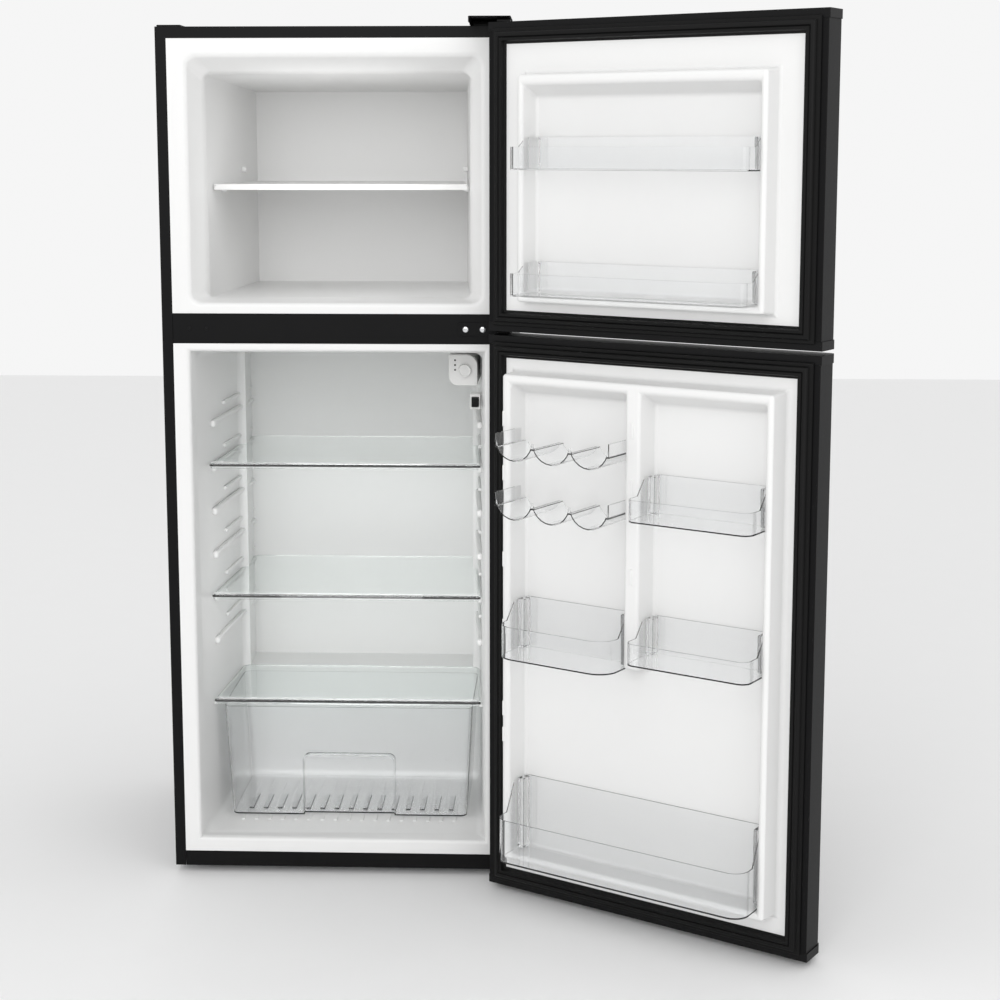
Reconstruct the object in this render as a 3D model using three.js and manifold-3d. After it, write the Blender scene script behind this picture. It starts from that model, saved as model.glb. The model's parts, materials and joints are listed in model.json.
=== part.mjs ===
// Top freezer refrigerator with both doors standing open.
// Millimetres. Origin on the floor under the middle of the cabinet, X to the right,
// Y towards the back, Z up. The doors are drawn closed and then swung open together
// with everything that hangs on them.
import * as THREE from 'three';
import Module from 'manifold-3d';
import { mergeVertices } from 'three/addons/utils/BufferGeometryUtils.js';

const wasm = await Module();
wasm.setup();
const { Manifold, Mesh: SolidMesh } = wasm;

// ---- driving sizes -------------------------------------------------------
const cabinetWidth = 597;
const cabinetHeight = 1474;
const cabinetDepth = 500;
const footHeight = 12;
const sheet = 1.2;
const fit = 0.3;
const past = 1; // how far a cutting tool reaches beyond the face it cuts

const sideBorder = 18.3;
const topBorder = 19;
const baseRailHeight = 27;
const baseRailReturn = 12;
const freezerOpening = 460;
const midRailHeight = 51;

const linerWall = 1.8;
const backInsulation = 70;
const freezerDepth = cabinetDepth - backInsulation - 10;
const freezerStepDepth = 45;
const fridgeDepth = cabinetDepth - backInsulation;
const fridgeLipDepth = 30;
const humpLength = 105;
const humpFrontDepth = fridgeDepth - humpLength;
const humpTop = 284;
const bayInsulation = 50;
const bayFrontDepth = humpFrontDepth + bayInsulation + 3;
const bayTop = humpTop - bayInsulation + 2;

const doorThickness = 52;
const doorGap = 7;
const doorSideInset = 1;
const sealGap = 12;
const openAngle = 148.7;
const pivotFromSide = 12.6;
const pivotFromInnerFace = 26.7;
const pinRadius = 4;

const sealOuterInset = 10;
const sealInnerInset = 36;
const capHeight = 14;
const capProud = 1.5;
const rimHeight = 45;
const freezerRimHeight = 38;

const shelfFrontDepth = 86;
const shelfThickness = 4;
const shelfSideGap = 3;
const runnerCount = 6;
const lowestRunnerRise = 114;
const highestRunnerDrop = 149.5;
const runnerReach = 9;
const trimDepth = 12;
const trimHeight = 10;
const lowerShelfLevel = 1;
const upperShelfLevel = 4;

// ---- sizes that follow ---------------------------------------------------
const halfWidth = cabinetWidth / 2;
const front = -cabinetDepth / 2;
const back = cabinetDepth / 2;
const bottom = footHeight;
const frameHalf = halfWidth - sideBorder;
const frameTop = cabinetHeight - topBorder;
const midRailTop = frameTop - freezerOpening;
const midRailBottom = midRailTop - midRailHeight;
const baseRailTop = bottom + baseRailHeight;
const doorHalf = halfWidth - doorSideInset;
const doorWidth = 2 * doorHalf;
const innerFace = front - sealGap;
const outerFace = innerFace - doorThickness;
const pivotX = halfWidth - pivotFromSide;
const pivotY = innerFace - pivotFromInnerFace;
const doorSplit = (midRailBottom + midRailTop) / 2;
const freezerDoorBottom = doorSplit + doorGap / 2;
const freezerDoorTop = cabinetHeight + 2;
const fridgeDoorTop = doorSplit - doorGap / 2;
const fridgeDoorBottom = bottom;
const shelfFront = front + shelfFrontDepth;

// ---- materials -----------------------------------------------------------
const finish = (color, roughness, metalness, extra = {}) =>
  new THREE.MeshStandardMaterial({ color, roughness, metalness, ...extra });
const clearLook = { transparent: true, opacity: 0.35 };
const blackSteel = finish(0x1b1b1d, 0.45, 0.4);
const blackPlastic = finish(0x161617, 0.6, 0);
const sealRubber = finish(0x1d1d1e, 0.85, 0);
const linerWhite = finish(0xf1f0ee, 0.4, 0);
const partWhite = finish(0xeceae6, 0.45, 0);
const clearPlastic = finish(0xe6ecef, 0.12, 0, clearLook);
const shelfGlass = finish(0xd8e6e4, 0.06, 0, clearLook);
const screwSteel = finish(0xc2c4c6, 0.3, 1);
const zincSteel = finish(0x9a9c9e, 0.5, 0.9);
const pumpBlack = finish(0x222224, 0.5, 0.5);
const copper = finish(0xb4704a, 0.35, 1);
const foamCream = finish(0xe2d3a4, 0.95, 0);
const alloy = finish(0xbfc3c6, 0.4, 0.9);

// ---- solid helpers -------------------------------------------------------
function toSolid(geometry) {
  const plain = geometry.clone();
  plain.deleteAttribute('normal');
  plain.deleteAttribute('uv');
  const merged = mergeVertices(plain, 1e-4);
  return new Manifold(new SolidMesh({
    numProp: 3,
    vertProperties: new Float32Array(merged.attributes.position.array),
    triVerts: new Uint32Array(merged.index.array),
  }));
}

function toGeometry(solid) {
  const mesh = solid.getMesh();
  const geometry = new THREE.BufferGeometry();
  geometry.setAttribute('position', new THREE.BufferAttribute(new Float32Array(mesh.vertProperties), 3));
  geometry.setIndex(new THREE.BufferAttribute(new Uint32Array(mesh.triVerts), 1));
  return geometry;
}

function block([x0, x1], [y0, y1], [z0, z1]) {
  const geometry = new THREE.BoxGeometry(x1 - x0, y1 - y0, z1 - z0);
  geometry.translate((x0 + x1) / 2, (y0 + y1) / 2, (z0 + z1) / 2);
  return toSolid(geometry);
}

const join = (...solids) => solids.reduce((sum, solid) => sum.add(solid));
const cut = (solid, ...tools) => tools.reduce((rest, tool) => rest.subtract(tool), solid);

// Rounded rectangle; radii run bottom left, bottom right, top right, top left.
function roundedShape(x0, x1, y0, y1, radii) {
  const [a, b, c, d] = Array.isArray(radii) ? radii : [radii, radii, radii, radii];
  const shape = new THREE.Shape();
  shape.moveTo(x0 + a, y0);
  shape.lineTo(x1 - b, y0);
  if (b > 0) shape.absarc(x1 - b, y0 + b, b, -Math.PI / 2, 0, false);
  shape.lineTo(x1, y1 - c);
  if (c > 0) shape.absarc(x1 - c, y1 - c, c, 0, Math.PI / 2, false);
  shape.lineTo(x0 + d, y1);
  if (d > 0) shape.absarc(x0 + d, y1 - d, d, Math.PI / 2, Math.PI, false);
  shape.lineTo(x0, y0 + a);
  if (a > 0) shape.absarc(x0 + a, y0 + a, a, Math.PI, Math.PI * 1.5, false);
  return shape;
}

function extrude(shape, length, curveSegments = 4) {
  return new THREE.ExtrudeGeometry(shape, { depth: length, bevelEnabled: false, curveSegments });
}

// Plan outline (X, Y) raised along Z.
function upright(shape, z0, z1, curveSegments = 4) {
  return toSolid(extrude(shape, z1 - z0, curveSegments).translate(0, 0, z0));
}

// Side outline (Y, Z) carried along X.
function crosswise(shape, x0, x1, curveSegments = 4) {
  const geometry = extrude(shape, x1 - x0, curveSegments);
  geometry.applyMatrix4(new THREE.Matrix4().makeBasis(
    new THREE.Vector3(0, 1, 0), new THREE.Vector3(0, 0, 1), new THREE.Vector3(1, 0, 0)));
  return toSolid(geometry.translate(x0, 0, 0));
}

// Front outline (X, Z) carried back along Y.
function depthwise(shape, y0, y1, curveSegments = 4) {
  const geometry = extrude(shape, y1 - y0, curveSegments);
  geometry.rotateX(Math.PI / 2);
  return toSolid(geometry.translate(0, y1, 0));
}

function cylinder(radius, from, to, segments = 20) {
  const start = new THREE.Vector3(...from);
  const line = new THREE.Vector3(...to).sub(start);
  const geometry = new THREE.CylinderGeometry(radius, radius, line.length(), segments);
  geometry.translate(0, line.length() / 2, 0);
  geometry.applyQuaternion(new THREE.Quaternion().setFromUnitVectors(
    new THREE.Vector3(0, 1, 0), line.clone().normalize()));
  return toSolid(geometry.translate(start.x, start.y, start.z));
}

function turned(profile, [x, y, z], segments = 28) {
  const geometry = new THREE.LatheGeometry(profile.map(([r, h]) => new THREE.Vector2(r, h)), segments);
  geometry.rotateX(Math.PI / 2);
  return toSolid(geometry.translate(x, y, z));
}

// Path that runs through its knots one step at a time, so straight runs stay in one piece.
class KnotPath extends THREE.Curve {
  constructor(knots) {
    super();
    this.knots = knots;
  }

  getPoint(t, target = new THREE.Vector3()) {
    const place = t * (this.knots.length - 1);
    const index = Math.max(0, Math.min(Math.floor(place), this.knots.length - 2));
    return target.lerpVectors(this.knots[index], this.knots[index + 1], place - index);
  }

  getUtoTmapping(u) {
    return u;
  }
}

// Round bar bent along straight runs that are joined by curves.
function bentBar(points, radius, bend, bendSteps = 5, sides = 3) {
  const corners = points.map((p) => new THREE.Vector3(...p));
  const knots = [corners[0]];
  for (let i = 1; i < corners.length - 1; i += 1) {
    const inward = corners[i].clone().sub(corners[i - 1]).normalize();
    const onward = corners[i + 1].clone().sub(corners[i]).normalize();
    const curve = new THREE.QuadraticBezierCurve3(
      corners[i].clone().addScaledVector(inward, -bend),
      corners[i],
      corners[i].clone().addScaledVector(onward, bend),
    );
    knots.push(...curve.getPoints(bendSteps));
  }
  knots.push(corners[corners.length - 1]);
  const circle = new THREE.Shape().absarc(0, 0, radius, 0, Math.PI * 2);
  return toSolid(new THREE.ExtrudeGeometry(circle, {
    steps: knots.length - 1, extrudePath: new KnotPath(knots), bevelEnabled: false, curveSegments: sides,
  }));
}

// Straight-sided funnel between two rounded rectangles that stand across the depth.
// Each section is { depth, half, low, high }; grow makes it larger on every side.
function funnel(near, far, radius, grow = 0) {
  const corner = radius + grow;
  const half = near.half + grow;
  const height = near.high - near.low + 2 * grow;
  const shape = roundedShape(-half, half, 0, height, corner);
  const geometry = extrude(shape, 1, 3);
  const spots = geometry.attributes.position;
  const farHeight = far.high - far.low + 2 * grow;
  for (let i = 0; i < spots.count; i += 1) {
    const t = spots.getZ(i);
    const widthScale = 1 + t * ((far.half + grow) / half - 1);
    const heightScale = 1 + t * (farHeight / height - 1);
    const low = near.low - grow + t * (far.low - near.low);
    spots.setXYZ(
      i,
      spots.getX(i) * widthScale,
      front + near.depth + t * (far.depth - near.depth),
      low + spots.getY(i) * heightScale,
    );
  }
  return toSolid(mirrorWinding(geometry));
}

// Turns every triangle over, which a swap of two axes calls for.
function mirrorWinding(geometry) {
  const flat = geometry.index ? geometry.toNonIndexed() : geometry;
  const spots = flat.attributes.position;
  const a = new THREE.Vector3();
  const b = new THREE.Vector3();
  for (let i = 0; i < spots.count; i += 3) {
    a.fromBufferAttribute(spots, i);
    b.fromBufferAttribute(spots, i + 1);
    spots.setXYZ(i, b.x, b.y, b.z);
    spots.setXYZ(i + 1, a.x, a.y, a.z);
  }
  return flat;
}

const fridge = new THREE.Group();
fridge.name = 'top_freezer_refrigerator';

let swing = null;
function piece(name, solid, material) {
  const geometry = toGeometry(solid);
  if (swing) geometry.applyMatrix4(swing);
  const mesh = new THREE.Mesh(geometry, material);
  mesh.name = name;
  fridge.add(mesh);
}

const mirrored = (range) => [-range[1], -range[0]];
const deep = (from, to) => [front + from, front + to];

// ---- cabinet: folded steel wrap, rails, floor sheet and back ---------------
const insideTop = cabinetHeight - sheet;
const insideHalf = halfWidth - sheet;
const fullWidth = [-halfWidth, halfWidth];
const aheadOfFront = [front - 20, front];
const frameSpan = [-frameHalf + fit, frameHalf - fit];
piece('cabinet_shell', cut(
  block(fullWidth, [front, back], [bottom, cabinetHeight]),
  block([-insideHalf, insideHalf], [front + sheet, back + past], [bottom - past, insideTop]),
  block([-frameHalf, frameHalf], [front - past, front + sheet + past], [bottom - past, frameTop]),
), blackSteel);

piece('mid_rail', block(frameSpan, deep(0, sheet), [midRailBottom + fit, midRailTop - fit]), blackSteel);
piece('base_rail', join(
  block(frameSpan, deep(0, sheet), [bottom, baseRailTop - fit]),
  block(frameSpan, deep(0, baseRailReturn), [bottom, bottom + sheet]),
), blackSteel);

const pipeX = 60;
const pipeRadius = 3;
const pipeBehindLiner = 10;
const pipeTail = 60;
const pipeRise = 160;
const pipeY = front + Math.max(freezerDepth, fridgeDepth) + linerWall + pipeBehindLiner;
const pipeSpan = [bayTop - pipeTail, midRailTop + pipeRise];
const pipeSides = 12;
const pipeBore = cylinder(
  pipeRadius + fit, [pipeX, pipeY, pipeSpan[0]], [pipeX, pipeY, pipeSpan[1] + fit], pipeSides);
const footFromSide = 63.5;
const footX = halfWidth - footFromSide;
const frontFootDepth = 48;
const rearFootFromBack = 30;
const rearFootDepth = cabinetDepth - rearFootFromBack;
const footRadius = 15;
const stemRadius = 4;
const stemRise = 26;
const stemTop = bottom + stemRise;
const panFrontDepth = baseRailReturn + fit;
const bayFront = front + bayFrontDepth;
const innerSpan = [-insideHalf + fit, insideHalf - fit];
const stemHole = (x) => cylinder(stemRadius + fit, [x, front + frontFootDepth, 0],
  [x, front + frontFootDepth, stemTop + fit]);
piece('base_plate', cut(
  join(
    block(innerSpan, [front + panFrontDepth, bayFront], [bottom, bottom + sheet]),
    block(innerSpan, [bayFront - sheet, bayFront], [bottom, bayTop]),
    block(innerSpan, [bayFront - sheet, back - sheet - fit], [bayTop - sheet, bayTop]),
  ),
  stemHole(-footX),
  stemHole(footX),
  pipeBore,
), zincSteel);
const traySheet = 2;
const trayFromBack = 4;
piece('compressor_tray', block(
  innerSpan, [bayFront + fit, back - trayFromBack], [bottom, bottom + traySheet]), zincSteel);
piece('back_panel', block(innerSpan, [back - sheet, back], [bayTop + fit, insideTop - fit]), zincSteel);

// ---- liners: a lipped funnel for each compartment --------------------------
const freezerSections = [
  { depth: 0, half: frameHalf - 31.5, low: midRailTop + 17.7, high: frameTop - 29.4 },
  { depth: freezerStepDepth, half: frameHalf - 54.2, low: midRailTop + 24, high: frameTop - 57 },
  { depth: freezerDepth, half: frameHalf - 80.2, low: midRailTop + 26, high: frameTop - 76 },
];
const fridgeSections = [
  { depth: 0, half: frameHalf - 27.6, low: baseRailTop + 24, high: midRailBottom - 13.2 },
  { depth: fridgeLipDepth, half: frameHalf - 33.2, low: baseRailTop + 27, high: midRailBottom - 18 },
  { depth: fridgeDepth, half: frameHalf - 58.2, low: baseRailTop + 29, high: midRailBottom - 28 },
];
const linerCorner = 18;

function throat(sections, grow) {
  const [lip, step, end] = sections;
  const ends = { ...end, depth: end.depth + grow };
  return join(funnel(lip, step, linerCorner, grow), funnel(step, ends, linerCorner, grow));
}

function linerFlange(low, high) {
  return block(frameSpan, deep(0, linerWall), [low + fit, high - fit]);
}

const humpCore = block(fullWidth, [front + humpFrontDepth, back], [0, humpTop]);
const humpUnder = block(fullWidth, [front + humpFrontDepth + linerWall, back],
  [0, humpTop - linerWall]);

const wallHalf = (sections, depth) => {
  const [, step, end] = sections;
  return step.half + ((end.half - step.half) * (depth - step.depth)) / (end.depth - step.depth);
};
const freezerShelfTop = midRailTop + 217;
const freezerShelfThickness = 4;
const studReach = 9;
const studHalf = 5;
const studHeight = 8;
const studDepths = [150, 330];
const studs = studDepths.flatMap((depth) => {
  const wall = wallHalf(freezerSections, depth);
  const span = [wall - studReach, wall + linerWall / 2];
  const ledge = freezerShelfTop - freezerShelfThickness - fit;
  return [span, mirrored(span)].map((range) =>
    block(range, deep(depth - studHalf, depth + studHalf), [ledge - studHeight, ledge]));
});
piece('freezer_liner', join(cut(
  join(linerFlange(midRailTop, frameTop), throat(freezerSections, linerWall)),
  throat(freezerSections, 0),
  block(fullWidth, aheadOfFront, [0, cabinetHeight]),
), ...studs), linerWhite);

// Shelf runners follow the drafted side walls, so they are cut from the liner's own funnel.
const runnerFrontDepth = 118;
const runnerFromBack = 12;
const runnerDepths = deep(runnerFrontDepth, fridgeDepth - runnerFromBack);
const runnerHeight = 9;
const coverLedgeTop = humpTop + 1;
const coverLedgeReach = 6;
const coverLedgeHeight = 8;
const sink = 0.6; // how far a rib runs into the wall behind it
const runnerBase = coverLedgeTop + lowestRunnerRise;
const runnerPitch = (midRailBottom - highestRunnerDrop - runnerBase) / (runnerCount - 1);
const runnerTop = (level) => runnerBase + level * runnerPitch;
const runnerBars = Array.from({ length: runnerCount }, (_, level) =>
  block(fullWidth, runnerDepths, [runnerTop(level) - runnerHeight, runnerTop(level)]));
const betweenWalls = throat(fridgeSections, linerWall / 2).intersect(
  block(fullWidth, deep(fridgeLipDepth, fridgeDepth - runnerFromBack / 2), [0, cabinetHeight]));
const middle = (reach) => throat(
  fridgeSections.map((section) => ({ ...section, half: section.half - reach })), sink);
const runners = cut(join(...runnerBars).intersect(betweenWalls), middle(runnerReach + sink));
const coverLedge = cut(
  block(fullWidth, deep(shelfFrontDepth + trimDepth + 1, humpFrontDepth + linerWall / 2),
    [coverLedgeTop - coverLedgeHeight, coverLedgeTop]).intersect(betweenWalls),
  middle(coverLedgeReach + sink));

piece('fridge_liner', join(
  cut(
    join(linerFlange(baseRailTop, midRailBottom), cut(throat(fridgeSections, linerWall), humpUnder)),
    cut(throat(fridgeSections, 0), humpCore),
    block(fullWidth, aheadOfFront, [0, cabinetHeight]),
  ),
  runners,
  coverLedge,
), linerWhite);

// ---- foam that fills the walls ---------------------------------------------
const foamFront = front + linerWall + fit;
const evaporatorHalf = halfWidth - 128.5;
const evaporatorSheet = 2;
const evaporatorDepth = freezerDepth + linerWall + fit;
const evaporatorBox = [
  [-evaporatorHalf, evaporatorHalf], deep(evaporatorDepth, evaporatorDepth + evaporatorSheet),
  [midRailTop + 60, frameTop - 110],
];
const grown = (ranges, by) => ranges.map(([a, b]) => [a - by, b + by]);
piece('cabinet_foam', cut(
  block(innerSpan, [foamFront, back - sheet - fit], [bottom + sheet + fit, insideTop - fit]),
  throat(freezerSections, linerWall + fit),
  cut(throat(fridgeSections, linerWall + fit), block(fullWidth,
    [front + humpFrontDepth + linerWall + fit, back], [0, humpTop - linerWall - fit])),
  block(fullWidth, [bayFront - sheet - fit, back], [0, bayTop + fit]),
  block(fullWidth, deep(0, panFrontDepth + fit), [0, baseRailTop]),
  block(...grown(evaporatorBox, fit)),
  pipeBore,
  stemHole(-footX),
  stemHole(footX),
), foamCream);
piece('evaporator_plate', block(...evaporatorBox), alloy);

// ---- compressor bay and condenser ------------------------------------------
const pumpFromPipe = 170;
const pumpClearance = 7;
const pumpX = pipeX - pumpFromPipe;
const pumpY = (bayFront + back) / 2 + 1;
const pumpRadius = (back - bayFront) / 2 - pumpClearance;
const pumpHeight = 150;
const grommetHeight = 10;
const pumpBase = bottom + traySheet + grommetHeight + fit;
const pumpPlate = { overhang: 18, half: 42, sheet: 3 };
const relay = { thickness: 31, half: 24, low: 45, high: 105 };
piece('compressor', join(
  turned([
    [0, 0], [pumpRadius * 0.8, 0], [pumpRadius, 22], [pumpRadius, pumpHeight * 0.5],
    [pumpRadius * 0.96, pumpHeight * 0.62], [pumpRadius * 0.8, pumpHeight * 0.85],
    [pumpRadius * 0.45, pumpHeight], [0, pumpHeight],
  ], [pumpX, pumpY, pumpBase]),
  block([pumpX - pumpRadius - pumpPlate.overhang, pumpX + pumpRadius + pumpPlate.overhang],
    [pumpY - pumpPlate.half, pumpY + pumpPlate.half], [pumpBase, pumpBase + pumpPlate.sheet]),
), pumpBlack);
piece('relay_cover', block([pumpX + pumpRadius + 1, pumpX + pumpRadius + 1 + relay.thickness],
  [pumpY - relay.half, pumpY + relay.half], [pumpBase + relay.low, pumpBase + relay.high]), blackPlastic);
const dripTray = { x: halfWidth - 48.5, length: 178, gap: 10, drop: 90, height: 38, wall: 2 };
const dripX = [dripTray.x - dripTray.length, dripTray.x];
const dripY = [bayFront + dripTray.gap, back - dripTray.gap];
const dripLow = bayTop - dripTray.drop;
const inset = ([low, high], by) => [low + by, high - by];
piece('drip_tray', cut(
  block(dripX, dripY, [dripLow, dripLow + dripTray.height]),
  block(inset(dripX, dripTray.wall), inset(dripY, dripTray.wall), [dripLow + dripTray.wall, bayTop]),
), blackPlastic);
piece('suction_pipe', cylinder(
  pipeRadius, [pipeX, pipeY, pipeSpan[0]], [pipeX, pipeY, pipeSpan[1]], pipeSides), copper);

const coilRadius = 2.4;
const coilY = back + 14;
const coilRows = 10;
const coilHalf = halfWidth - 63.5;
const coilLow = 300;
const coilFromTop = 274;
const coilBend = 24;
const coilPitch = (cabinetHeight - coilLow - coilFromTop) / (coilRows - 1);
const coilPoints = [];
for (let row = 0; row < coilRows; row += 1) {
  const z = coilLow + row * coilPitch;
  const side = row % 2 === 0 ? 1 : -1;
  coilPoints.push([-side * coilHalf, coilY, z], [side * coilHalf, coilY, z]);
}
const wireCount = 10;
const wireHalf = 1;
const wireInset = 30;
const wireTail = 20;
const wireSpan = [coilLow - wireTail, coilLow + (coilRows - 1) * coilPitch + wireTail];
const wires = Array.from({ length: wireCount }, (_, i) => {
  const x = -coilHalf + wireInset + (i * 2 * (coilHalf - wireInset)) / (wireCount - 1);
  const y = coilY - coilRadius;
  return block([x - wireHalf, x + wireHalf], [y - wireHalf, y + wireHalf], wireSpan);
});
const bracket = { half: 6, halfHeight: 12 };
const bendHeights = (side) => [1.5, 7.5].map((rows) => coilLow + (rows - (side > 0 ? 1 : 0)) * coilPitch);
const standoffs = [-1, 1].flatMap((side) => bendHeights(side).map((z) =>
  block([side * coilHalf - bracket.half, side * coilHalf + bracket.half], [back + fit, coilY],
    [z - bracket.halfHeight, z + bracket.halfHeight])));
piece('condenser_coil', join(bentBar(coilPoints, coilRadius, coilBend), ...wires, ...standoffs), zincSteel);

// ---- feet -------------------------------------------------------------------
const soleTop = bottom - 4;
const glideHalf = [22, 16];
for (const [side, sign] of [['left', -1], ['right', 1]]) {
  const x = sign * footX;
  const y = front + frontFootDepth;
  piece(`levelling_foot_${side}`, join(
    cylinder(footRadius, [x, y, 0], [x, y, soleTop], 24),
    cylinder(stemRadius, [x, y, soleTop - 1], [x, y, stemTop]),
  ), blackPlastic);
  piece(`rear_foot_${side}`, block([x - glideHalf[0], x + glideHalf[0]],
    deep(rearFootDepth - glideHalf[1], rearFootDepth + glideHalf[1]), [0, bottom - fit]), blackPlastic);
}

// ---- hinges -----------------------------------------------------------------
const leaf = 3;
const pinSegments = 24;
const pin = (z0, z1, grow = 0) =>
  cylinder(pinRadius + grow, [pivotX, pivotY, z0], [pivotX, pivotY, z1], pinSegments);
const leafHalf = 11;
const leafSpan = [pivotX - leafHalf, pivotX + leafHalf];
const leafFront = pivotY - leafHalf;
const leafRoot = front + 10;
const capFloor = 2; // solid left under a hinge pin in its cap
const topLeafRise = freezerDoorTop + 1.5;
const hingePlateX = [pivotX - 52, halfWidth - 2];
const hingePlateDepths = deep(8, 46);
piece('top_hinge', join(
  block(hingePlateX, hingePlateDepths, [cabinetHeight + fit, cabinetHeight + fit + leaf]),
  block(leafSpan, [leafRoot - 2 * leaf, leafRoot], [cabinetHeight + fit, topLeafRise + leaf]),
  block(leafSpan, [leafFront, leafRoot], [topLeafRise, topLeafRise + leaf]),
  pin(freezerDoorTop - capHeight + capFloor, topLeafRise + leaf / 2),
), blackSteel);
const midLeafTop = doorSplit + leaf / 2;
const midPlateHalf = 11;
const midPlateCorner = 5;
const midPlate = 2.5;
const midPlateX = [pivotX - 79, pivotX + 6];
piece('middle_hinge', join(
  depthwise(roundedShape(midPlateX[0], midPlateX[1], doorSplit - midPlateHalf, doorSplit + midPlateHalf,
    [midPlateCorner, 0, 0, midPlateCorner]), front - fit - midPlate, front - fit),
  block(leafSpan, [leafFront, front - fit], [midLeafTop - leaf, midLeafTop]),
  pin(fridgeDoorTop - capHeight + capFloor, freezerDoorBottom + capHeight - capFloor),
), blackSteel);
const screwProfile = [[0, 0], [5.6, 0], [4.8, 1.6], [2.6, 2.4], [0, 2.4]];
for (const [side, offset] of [['inner', 66], ['outer', 37]]) {
  const y = front - fit - midPlate - fit;
  piece(`middle_hinge_screw_${side}`, turned(screwProfile, [0, 0, 0], 20)
    .rotate([90, 0, 0]).translate([pivotX - offset, y, doorSplit]), screwSteel);
}
const lowLeafTop = bottom - fit;
const lowPlateX = [pivotX - 26, halfWidth - 4];
const lowPlateDepths = deep(0, 120);
piece('bottom_hinge', join(
  block(lowPlateX, lowPlateDepths, [lowLeafTop - leaf, lowLeafTop]),
  block(leafSpan, [leafFront, leafRoot], [lowLeafTop - leaf, lowLeafTop]),
  pin(lowLeafTop - leaf / 2, fridgeDoorBottom + capHeight - capFloor),
), blackSteel);
const coverRise = 6;
const coverTop = topLeafRise + leaf + fit + coverRise;
const coverWall = 2;
const coverGap = 6; // cover beyond the hinge plate
const coverX = [hingePlateX[0] - coverGap, halfWidth - doorSideInset];
const coverFront = leafFront - 3;
const coverBack = hingePlateDepths[1] + coverGap;
const coverStep = front - sealGap + 4;
piece('top_hinge_cover', cut(
  join(
    block(coverX, [coverStep, coverBack], [cabinetHeight + fit, coverTop]),
    block(coverX, [coverFront, coverStep + past], [freezerDoorTop + 2 * fit, coverTop]),
  ),
  block([coverX[0] + coverWall, halfWidth], [coverFront - past, coverBack - coverWall],
    [cabinetHeight - past, coverTop - coverWall]),
), blackPlastic);

// ---- shelves, crisper and freezer shelf ---------------------------------------
// Pane that narrows with the drafted walls, as seen from above, with nipped rear corners.
const nip = 10;
function pane(sections, frontDepth, rearDepth, gap, z0, z1) {
  const shape = new THREE.Shape();
  const wide = wallHalf(sections, frontDepth) - gap;
  const narrow = wallHalf(sections, rearDepth) - gap;
  shape.moveTo(-wide, front + frontDepth);
  shape.lineTo(wide, front + frontDepth);
  shape.lineTo(narrow + 0.6, front + rearDepth - nip);
  shape.lineTo(narrow - nip, front + rearDepth);
  shape.lineTo(-narrow + nip, front + rearDepth);
  shape.lineTo(-narrow - 0.6, front + rearDepth - nip);
  shape.closePath();
  return upright(shape, z0, z1);
}

// Moulded bar that grips the pane's front edge in a slot.
const slotFloor = 4;
function frontBar(half, depth, glassBottom, glassTop) {
  const top = glassTop + (trimHeight - shelfThickness) / 2;
  const y = front + depth;
  const side = roundedShape(y, y + trimDepth, top - trimHeight, top, [2, 0, 0, 3]);
  return cut(
    crosswise(side, -half, half, 3),
    block([-half - past, half + past], [y + slotFloor, y + trimDepth + past],
      [glassBottom - fit, glassTop + fit]),
  );
}

function glassShelf(prefix, level, rearDepth) {
  const glassBottom = level + fit;
  const glassTop = glassBottom + shelfThickness;
  piece(`${prefix}_glass`, pane(fridgeSections, shelfFrontDepth + slotFloor + fit, rearDepth, shelfSideGap,
    glassBottom, glassTop), shelfGlass);
  piece(`${prefix}_trim`, frontBar(wallHalf(fridgeSections, shelfFrontDepth) - 2 * shelfSideGap,
    shelfFrontDepth, glassBottom, glassTop), clearPlastic);
}
const shelfRearDepth = fridgeDepth - 6;
glassShelf('upper_shelf', runnerTop(upperShelfLevel), shelfRearDepth);
glassShelf('lower_shelf', runnerTop(lowerShelfLevel), shelfRearDepth);
glassShelf('crisper_cover', coverLedgeTop, humpFrontDepth - 3);

const freezerShelfDepth = 82;
const freezerShelfRear = freezerDepth - 14;
const freezerSideGap = 4;
const freezerBar = 6;
const freezerBarHalf = wallHalf(freezerSections, freezerShelfDepth) - freezerSideGap - shelfSideGap;
piece('freezer_shelf', join(
  pane(freezerSections, freezerShelfDepth, freezerShelfRear, freezerSideGap,
    freezerShelfTop - freezerShelfThickness, freezerShelfTop),
  block([-freezerBarHalf, freezerBarHalf], deep(freezerShelfDepth, freezerShelfDepth + freezerBar),
    [freezerShelfTop - trimHeight, freezerShelfTop]),
), partWhite);
const drawerFront = shelfFront + 10;
const drawerBack = front + humpFrontDepth - 6;
const drawerBottom = fridgeSections[0].low + 8;
const drawerTop = coverLedgeTop - 10;
const drawerWall = 2;
const drawerSideGap = 3.5;
const drawerDraft = 11;
const drawerCorner = 14;
const drawerTaper = 0.05; // share of its length that the floor loses to the draft
const drawerTopHalf = wallHalf(fridgeSections, humpFrontDepth) - drawerSideGap;
const drawerBottomHalf = drawerTopHalf - drawerDraft;
const gripHalf = 82;
const gripTop = drawerTop - 92;
const gripDepth = 16;
const gripCorner = 12;

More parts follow.
